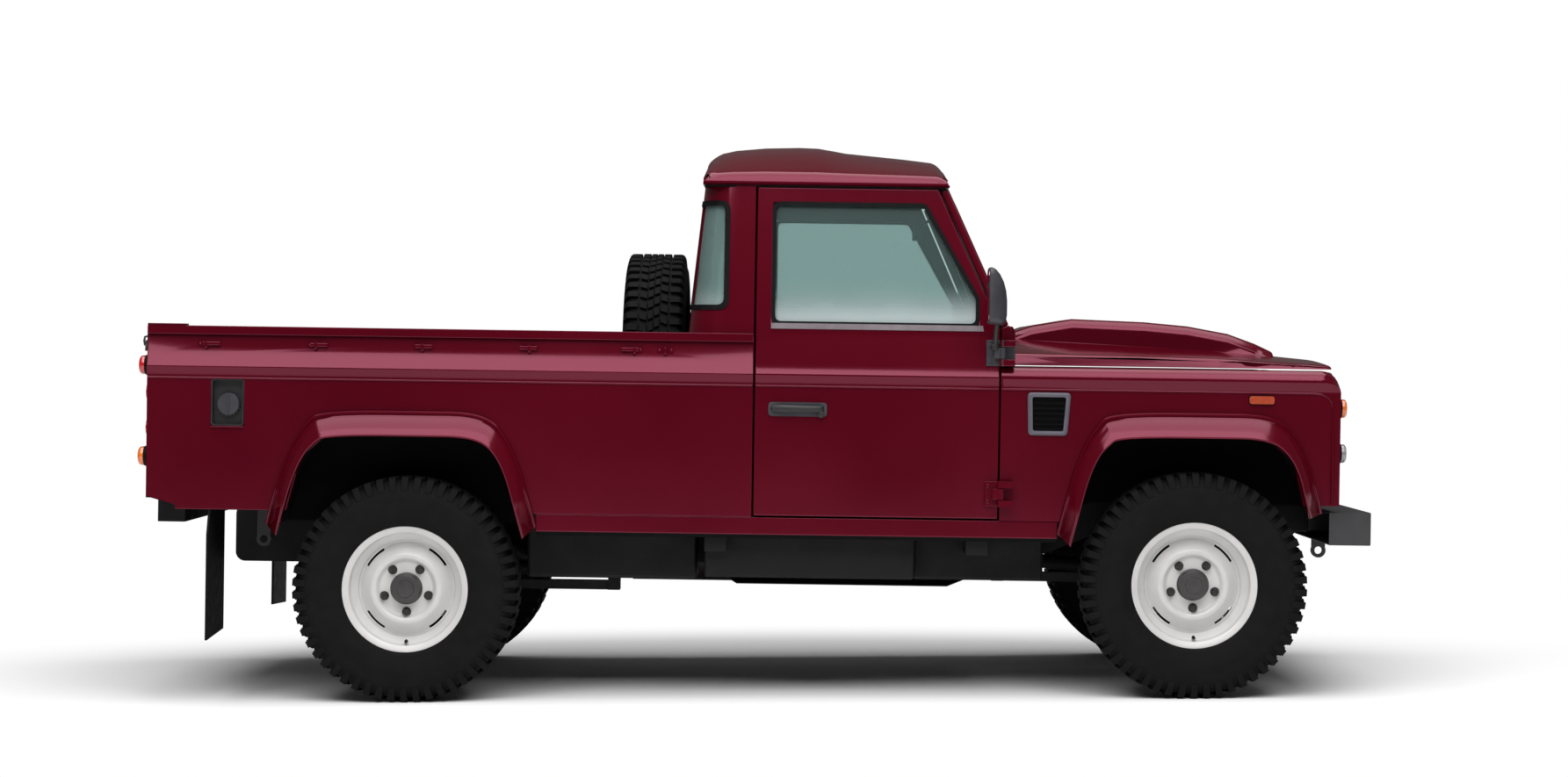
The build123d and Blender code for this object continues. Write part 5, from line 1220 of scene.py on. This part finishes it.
# Seats: foam cushions in dark cloth, crowned, with two sewn flutes and piped edges, on black trays
def cushion(shape, half, crown, flutes, groove, turn, cells=20):
    """Rounded foam block about its own centre, its top (+Z) crowned and grooved, then placed by a matrix."""
    edge = 0.026
    made = bmesh.ops.create_cube(shape, size=2.0)["verts"]
    ring = list({item for vert in made for item in vert.link_edges})
    bmesh.ops.subdivide_edges(shape, edges=ring, cuts=cells, use_grid_fill=True)
    grown = [vert for vert in shape.verts if vert.tag is False]
    for vert in grown:
        at = Vector([share * size for share, size in zip(vert.co, half)])
        core = Vector([max(-size + edge, min(size - edge, value)) for value, size in zip(at, half)])
        out = at - core
        if out.length > 0:
            at = core + out.normalized() * edge
        u, v = at.x / half[0], at.y / half[1]
        top = max(0.0, at.z / half[2])
        puff = (1 - min(1, abs(u)) ** 2.5) * (1 - min(1, abs(v)) ** 2.5)
        sew = sum(2.718 ** -(((at.y - line) / 0.0085) ** 2) for line in flutes)
        frame_sew = 2.718 ** -(((max(abs(at.x) - half[0], abs(at.y) - half[1]) + 0.045) / 0.0085) ** 2)
        pucker = 1 + 0.25 * sin(at.x * 220) * sin(at.y * 35 + 1)
        at.z += top * (crown * puff - groove * (min(1.0, sew * 0.9 + frame_sew) * pucker))
        waist = (1 - min(1, abs(at.z) / half[2]) ** 2) * 0.004
        at.x -= waist * max(-1, min(1, u * 1.2)) ** 3
        at.y -= waist * max(-1, min(1, v * 1.2)) ** 3
        vert.co = turn @ at
        vert.tag = True


def seat(place, middle, half_wide, instead):
    flutes = [-half_wide * 0.30, half_wide * 0.30]
    shape = bmesh.new()
    cushion(shape, (0.206, half_wide - 0.004, 0.040), 0.012, flutes, 0.006,
            Matrix.Translation((-0.030, middle, 0.898)) @ Matrix.Rotation(radians(-2), 4, "Y"))
    piece = make("seat_cushion_" + place, shape, seat_cloth, "chassis", instead, angle=80)
    shape = bmesh.new()
    cushion(shape, (0.238, half_wide - 0.006, 0.034), 0.012, flutes, 0.006,
            Matrix.Translation((-0.290, middle, 1.150)) @ Matrix.Rotation(radians(-8), 4, "Y")
            @ Matrix.Rotation(radians(90), 4, "Y") @ Matrix.Rotation(radians(180), 4, "X"))
    piece = make("seat_back_" + place, shape, seat_cloth, "chassis", angle=80)
    shape = bmesh.new()
    box(shape, -0.232, 0.172, middle - half_wide + 0.012, middle + half_wide - 0.012, 0.850, 0.866)
    soften(shape, 0.004, 2)
    make("seat_tray_" + place, shape, black_plastic, "chassis")


seat("right", -0.400, 0.235, ["seats"])
seat("middle", 0.0, 0.135, [])
seat("left", 0.400, 0.235, [])

# Cab controls: levers with gaiters on the tunnel, pedals, two dials, a grab rail and the inside mirror
shape = bmesh.new()
tube(shape, [(0.350, -0.040, 0.846), (0.345, -0.045, 0.930), (0.320, -0.060, 1.020)], 0.0065, 12)
lathe(shape, [(0.0, -0.024), (0.014, -0.020), (0.022, -0.008), (0.022, 0.006), (0.014, 0.018), (0.0, 0.021)],
      Matrix.Translation((0.316, -0.062, 1.036)) @ Matrix.Rotation(radians(90), 4, "X"), 24)
tube(shape, [(0.300, 0.050, 0.846), (0.292, 0.052, 0.960)], 0.0055, 12)
lathe(shape, [(0.0, -0.018), (0.015, -0.010), (0.015, 0.008), (0.0, 0.016)],
      Matrix.Translation((0.291, 0.052, 0.970)) @ Matrix.Rotation(radians(90), 4, "X"), 20)
for x, y in ((0.350, -0.040), (0.300, 0.050)):
    lathe(shape, [(0.046, 0.000), (0.040, 0.010), (0.042, 0.016), (0.030, 0.026), (0.031, 0.032), (0.018, 0.042),
                  (0.010, 0.046)], Matrix.Translation((x, y, 0.848)) @ Matrix.Rotation(radians(90), 4, "X"), 24)
for y, wide in ((-0.290, 0.030), (-0.400, 0.034), (-0.500, 0.034)):
    box(shape, 0.560, 0.568, y - wide, y + wide, 0.715, 0.775, Matrix.Rotation(radians(-25), 4, "Y"))
    tube(shape, [(0.570, y, 0.760), (0.610, y, 0.860), (0.620, y, 0.960)], 0.007, 8)
tube(shape, [(0.528, 0.230, 1.235), (0.494, 0.235, 1.235), (0.490, 0.260, 1.235), (0.490, 0.520, 1.235),
             (0.494, 0.545, 1.235), (0.528, 0.550, 1.235)], 0.010, 12)
mirror_pad = rounded([(-0.120, -0.032), (0.120, -0.032), (0.120, 0.032), (-0.120, 0.032)], 0.024)
prism(shape, [(0.430, at.x, 1.700 + at.y) for at in mirror_pad], (0.018, 0, 0))
tube(shape, [(0.445, 0, 1.705), (0.490, 0, 1.745), (0.520, 0, 1.775)], 0.006, 8)
make("cab_controls", shape, black_plastic, "chassis", angle=45)
shape = bmesh.new()
for y in (-0.345, -0.455):
    lathe(shape, [(0.047, 0.0), (0.047, 0.010), (0.043, 0.013), (0.041, 0.010), (0.041, 0.004), (0.0, 0.004)],
          Matrix.Translation((0.520, y, 1.235)) @ Matrix.Rotation(radians(90), 4, "Z"), 32)
make("dial_bezels", shape, black_plastic, "chassis", angle=45)
shape = bmesh.new()
for y in (-0.345, -0.455):
    for step in range(9):
        angle = radians(225 - 270 * step / 8)
        box(shape, 0.5145, 0.5155, y + 0.033 * cos(angle) - 0.0016, y + 0.033 * cos(angle) + 0.0016,
            1.235 + 0.033 * sin(angle) - 0.0016, 1.235 + 0.033 * sin(angle) + 0.0016)
    tube(shape, [(0.5145, y, 1.235), (0.5145, y + 0.020, 1.252)], 0.0012, 6)
prism(shape, [(0.4298, at.x * 0.93, 1.700 + at.y * 0.9) for at in mirror_pad], (-0.0006, 0, 0))
make("dial_markings", shape, dial_white, "chassis")


# Door lining: grained card with a pull, a latch lever and the window winder
def door_lining(side, place):
    shape = bmesh.new()
    card = rounded([(-0.120, 0.885), (0.490, 0.885), (0.490, 1.262), (-0.120, 1.262)], 0.03)
    prism(shape, [(at.x, side * 0.7885, at.y) for at in card], (0, -side * 0.006, 0))
    soften(shape, 0.002, 2)
    make("door_card_" + place, shape, black_plastic, "door_" + place)
    shape = bmesh.new()
    tube(shape, [(0.020, side * 0.784, 1.105), (0.024, side * 0.750, 1.105), (0.040, side * 0.745, 1.105),
                 (0.210, side * 0.745, 1.105), (0.226, side * 0.750, 1.105), (0.230, side * 0.784, 1.105)], 0.010, 10)
    lathe(shape, [(0.020, 0.0), (0.020, 0.010), (0.008, 0.014), (0.008, 0.030), (0.0, 0.030)],
          Matrix.Translation((0.300, side * 0.784, 1.000)) @ Matrix.Diagonal((1, -side, 1, 1)), 24)
    tube(shape, [(0.300, side * 0.757, 1.000), (0.250, side * 0.755, 0.965), (0.235, side * 0.752, 0.955)], 0.006, 8)
    lathe(shape, [(0.0, 0.0), (0.011, 0.003), (0.011, 0.024), (0.0, 0.028)],
          Matrix.Translation((0.235, side * 0.756, 0.955)) @ Matrix.Diagonal((1, -side, 1, 1)), 16)
    box(shape, 0.330, 0.400, side * 0.770, side * 0.782, 1.190, 1.204)
    make("door_handles_inside_" + place, shape, grey_plastic, "door_" + place, angle=45)


both_sides(door_lining)

# Tail: latch hooks on the gate and staples on the tub, and a blank number plate
shape = bmesh.new()
staple = bmesh.new()
for side in (1, -1):
    box(shape, -2.3240, -2.3190, side * 0.690, side * 0.750, 1.228, 1.252)
    tube(shape, [(-2.3255, side * 0.712, 1.240), (-2.3290, side * 0.740, 1.240), (-2.3290, side * 0.748, 1.205)], 0.005, 8)
    box(staple, -2.3140, -2.3080, side * 0.776, side * 0.806, 1.205, 1.275)
    tube(staple, [(-2.3120, side * 0.791, 1.222), (-2.3260, side * 0.791, 1.226), (-2.3280, side * 0.791, 1.240),
                  (-2.3260, side * 0.791, 1.254), (-2.3120, side * 0.791, 1.258)], 0.004, 8)
make("tailgate_latches", shape, hub_grey, "tailgate")
make("tailgate_staples", staple, hub_grey, "chassis")
shape = bmesh.new()
plate = rounded([(0.130, 0.846), (0.650, 0.846), (0.650, 0.957), (0.130, 0.957)], 0.010)
prism(shape, [(-2.3195, at.x, at.y) for at in plate], (-0.003, 0, 0))
make("number_plate_blank", shape, plate_white, "tailgate")

# Door seals: rubber sections on the rear posts, behind the shut gap
shape = bmesh.new()
for side in (1, -1):
    post = [(0.660, 0.779), (1.297, 0.779), (1.300, upper_at(1.302) - 0.052), (1.815, upper_at(1.815) - 0.052)]
    for (z0, out0), (z1, out1) in zip(post, post[1:]):
        corners = [(-0.184, side * out0, z0), (-0.149, side * out0, z0), (-0.149, side * out1, z1),
                   (-0.184, side * out1, z1)]
        prism(shape, corners, (0, -side * 0.018, 0))
make("door_seals", shape, flap_rubber, "chassis")

# Engine bay: ribbed cam cover, radiator with its top tank and hose, battery on the inner wing, air cleaner
shape = bmesh.new()
box(shape, 1.000, 1.500, -0.110, 0.110, 1.085, 1.112)
for number in range(5):
    y = -0.080 + number * 0.040
    box(shape, 1.020, 1.480, y - 0.005, y + 0.005, 1.110, 1.118)
soften(shape, 0.004, 2)
lathe(shape, [(0.028, 0.0), (0.028, 0.012), (0.022, 0.016), (0.0, 0.016)],
      Matrix.Translation((1.440, 0.060, 1.112)) @ Matrix.Rotation(radians(90), 4, "X"), 20)
make("cam_cover", shape, hub_grey, "chassis")
shape = bmesh.new()
box(shape, 1.805, 1.855, -0.350, 0.350, 0.740, 1.080)
box(shape, 1.795, 1.865, -0.365, 0.365, 1.080, 1.135)
for number in range(30):
    z = 0.750 + number * 0.011
    box(shape, 1.8030, 1.8045, -0.345, 0.345, z, z + 0.003)
lathe(shape, [(0.026, 0.0), (0.026, 0.012), (0.022, 0.015), (0.0, 0.015)],
      Matrix.Translation((1.830, 0.0, 1.134)) @ Matrix.Rotation(radians(90), 4, "X"), 20)
tube(shape, [(1.800, -0.200, 1.108), (1.740, -0.200, 1.112), (1.660, -0.160, 1.108), (1.600, -0.110, 1.080),
             (1.555, -0.080, 1.050)], 0.020, 14)
make("radiator", shape, black_plastic, "chassis", angle=45)
shape = bmesh.new()
box(shape, 1.000, 1.230, 0.290, 0.440, 0.880, 1.070)
box(shape, 0.994, 1.236, 0.284, 0.446, 1.062, 1.080)
soften(shape, 0.004, 2)
for x in (1.040, 1.190):
    lathe(shape, [(0.010, 0.0), (0.009, 0.016), (0.0, 0.016)],
          Matrix.Translation((x, 0.330, 1.080)) @ Matrix.Rotation(radians(90), 4, "X"), 14)
box(shape, 0.980, 1.250, 0.280, 0.455, 0.872, 0.881)
make("battery", shape, black_plastic, "chassis")
shape = bmesh.new()
lathe(shape, [(0.070, 0.0), (0.074, 0.006), (0.074, 0.214), (0.070, 0.220), (0.030, 0.222), (0.030, 0.250), (0.0, 0.250)],
      Matrix.Translation((1.080, -0.340, 1.010)) @ Matrix.Rotation(radians(-90), 4, "Z"), 32)
tube(shape, [(1.325, -0.340, 1.010), (1.380, -0.330, 1.020), (1.420, -0.270, 1.050), (1.420, -0.180, 1.070)], 0.028, 14)
box(shape, 1.140, 1.170, -0.455, -0.400, 0.990, 1.030)
make("air_cleaner", shape, grey_plastic, "chassis", angle=45)

# Load floor: pressed ribs along the bed
shape = bmesh.new()
for number in range(9):
    y = -0.380 + number * 0.095
    rib = rounded([(-2.245, y - 0.016), (-0.760, y - 0.016), (-0.760, y + 0.016), (-2.245, y + 0.016)], 0.015)
    prism(shape, [(at.x, at.y, 0.799) for at in rib], (0, 0, 0.005))
soften(shape, 0.0035, 2, 0.001)
make("load_floor_ribs", shape, body_paint, "chassis", angle=50)

# Studio: pale floor that turns into plain white away from the truck, a long soft light over the camera,
# another over the roof, and darkness at eye level so that the enamel stays deep
floor_shade = finish("pale_floor", ("#F2F2F2", "#F5F5F5"), (0.85, 0.9), (2.0, 0.05))
tree = floor_shade.node_tree
place = add(tree, "ShaderNodeTexCoord").outputs["Object"]
parts = add(tree, "ShaderNodeSeparateXYZ", Vector=place)
across_floor = add(tree, "ShaderNodeMath", {"operation": "DIVIDE"}, i0=parts.outputs["X"], i1=3.6)
along_floor = add(tree, "ShaderNodeMath", {"operation": "DIVIDE"}, i0=parts.outputs["Y"], i1=2.0)
ring_at = add(tree, "ShaderNodeCombineXYZ", X=across_floor.outputs[0], Y=along_floor.outputs[0])
away = add(tree, "ShaderNodeVectorMath", {"operation": "LENGTH"}, i0=ring_at.outputs[0]).outputs["Value"]
fade = add(tree, "ShaderNodeMapRange", {"interpolation_type": "SMOOTHSTEP"}, Value=away, i1=0.7, i2=1.15)
white_floor = add(tree, "ShaderNodeEmission", Color=(1, 1, 1, 1), Strength=1.0)
seen = add(tree, "ShaderNodeLightPath").outputs["Is Camera Ray"]
share = add(tree, "ShaderNodeMath", {"operation": "MULTIPLY"}, i0=fade.outputs["Result"], i1=seen)
blend = add(tree, "ShaderNodeMixShader", i0=share.outputs[0], i1=tree.nodes["Principled BSDF"].outputs[0],
            i2=white_floor.outputs[0])
tree.links.new(blend.outputs[0], tree.nodes["Material Output"].inputs["Surface"])
shape = bmesh.new()
corners = [(-40, -7, 0), (40, -7, 0), (40, 80, 0), (-40, 80, 0)]
shape.faces.new([shape.verts.new(corner) for corner in corners])
mesh = bpy.data.meshes.new("floor")
shape.to_mesh(mesh)
shape.free()
mesh.materials.append(floor_shade)
floor = bpy.data.objects.new("floor", mesh)
bpy.context.scene.collection.objects.link(floor)

world = bpy.data.worlds.new("studio")
bpy.context.scene.world = world
world.use_nodes = True
tree = world.node_tree
tree.nodes.clear()
path = add(tree, "ShaderNodeLightPath")
fill = add(tree, "ShaderNodeBackground", Color=(1, 1, 1, 1), Strength=0.10)
white = add(tree, "ShaderNodeBackground", Color=(1, 1, 1, 1), Strength=1.0)
mix = add(tree, "ShaderNodeMixShader", i0=path.outputs["Is Camera Ray"], i1=fill.outputs[0], i2=white.outputs[0])
out = add(tree, "ShaderNodeOutputWorld")
tree.links.new(mix.outputs[0], out.inputs["Surface"])


def soft_light(name, place, aim, size, power):
    """Wide flat studio light."""
    lamp = bpy.data.lights.new(name, "AREA")
    lamp.shape = "RECTANGLE"
    lamp.size, lamp.size_y = size
    lamp.energy = power
    holder = bpy.data.objects.new(name, lamp)
    holder.location = place
    holder.rotation_euler = (Vector(aim) - Vector(place)).to_track_quat("-Z", "Y").to_euler()
    bpy.context.scene.collection.objects.link(holder)
    return holder


soft_light("key_light", (0, -6.6, 6.8), (0, 0, 0.9), (10, 4.0), 600)
soft_light("roof_light", (0, -1.4, 7.5), (0, -1.4, 0), (10, 7), 760)

# Camera square to the right side, 10.9 m from the near wheels
lens = bpy.data.cameras.new("camera")
lens.lens = 70.8
lens.sensor_width = 36
lens.shift_x = -0.003
lens.shift_y = -0.0204
camera = bpy.data.objects.new("camera", lens)
camera.location = (0.134, -11.743, 1.218)
camera.rotation_euler = (radians(90), radians(0.27), 0)
bpy.context.scene.collection.objects.link(camera)
bpy.context.scene.camera = camera
bpy.context.scene.view_settings.view_transform = "Standard"
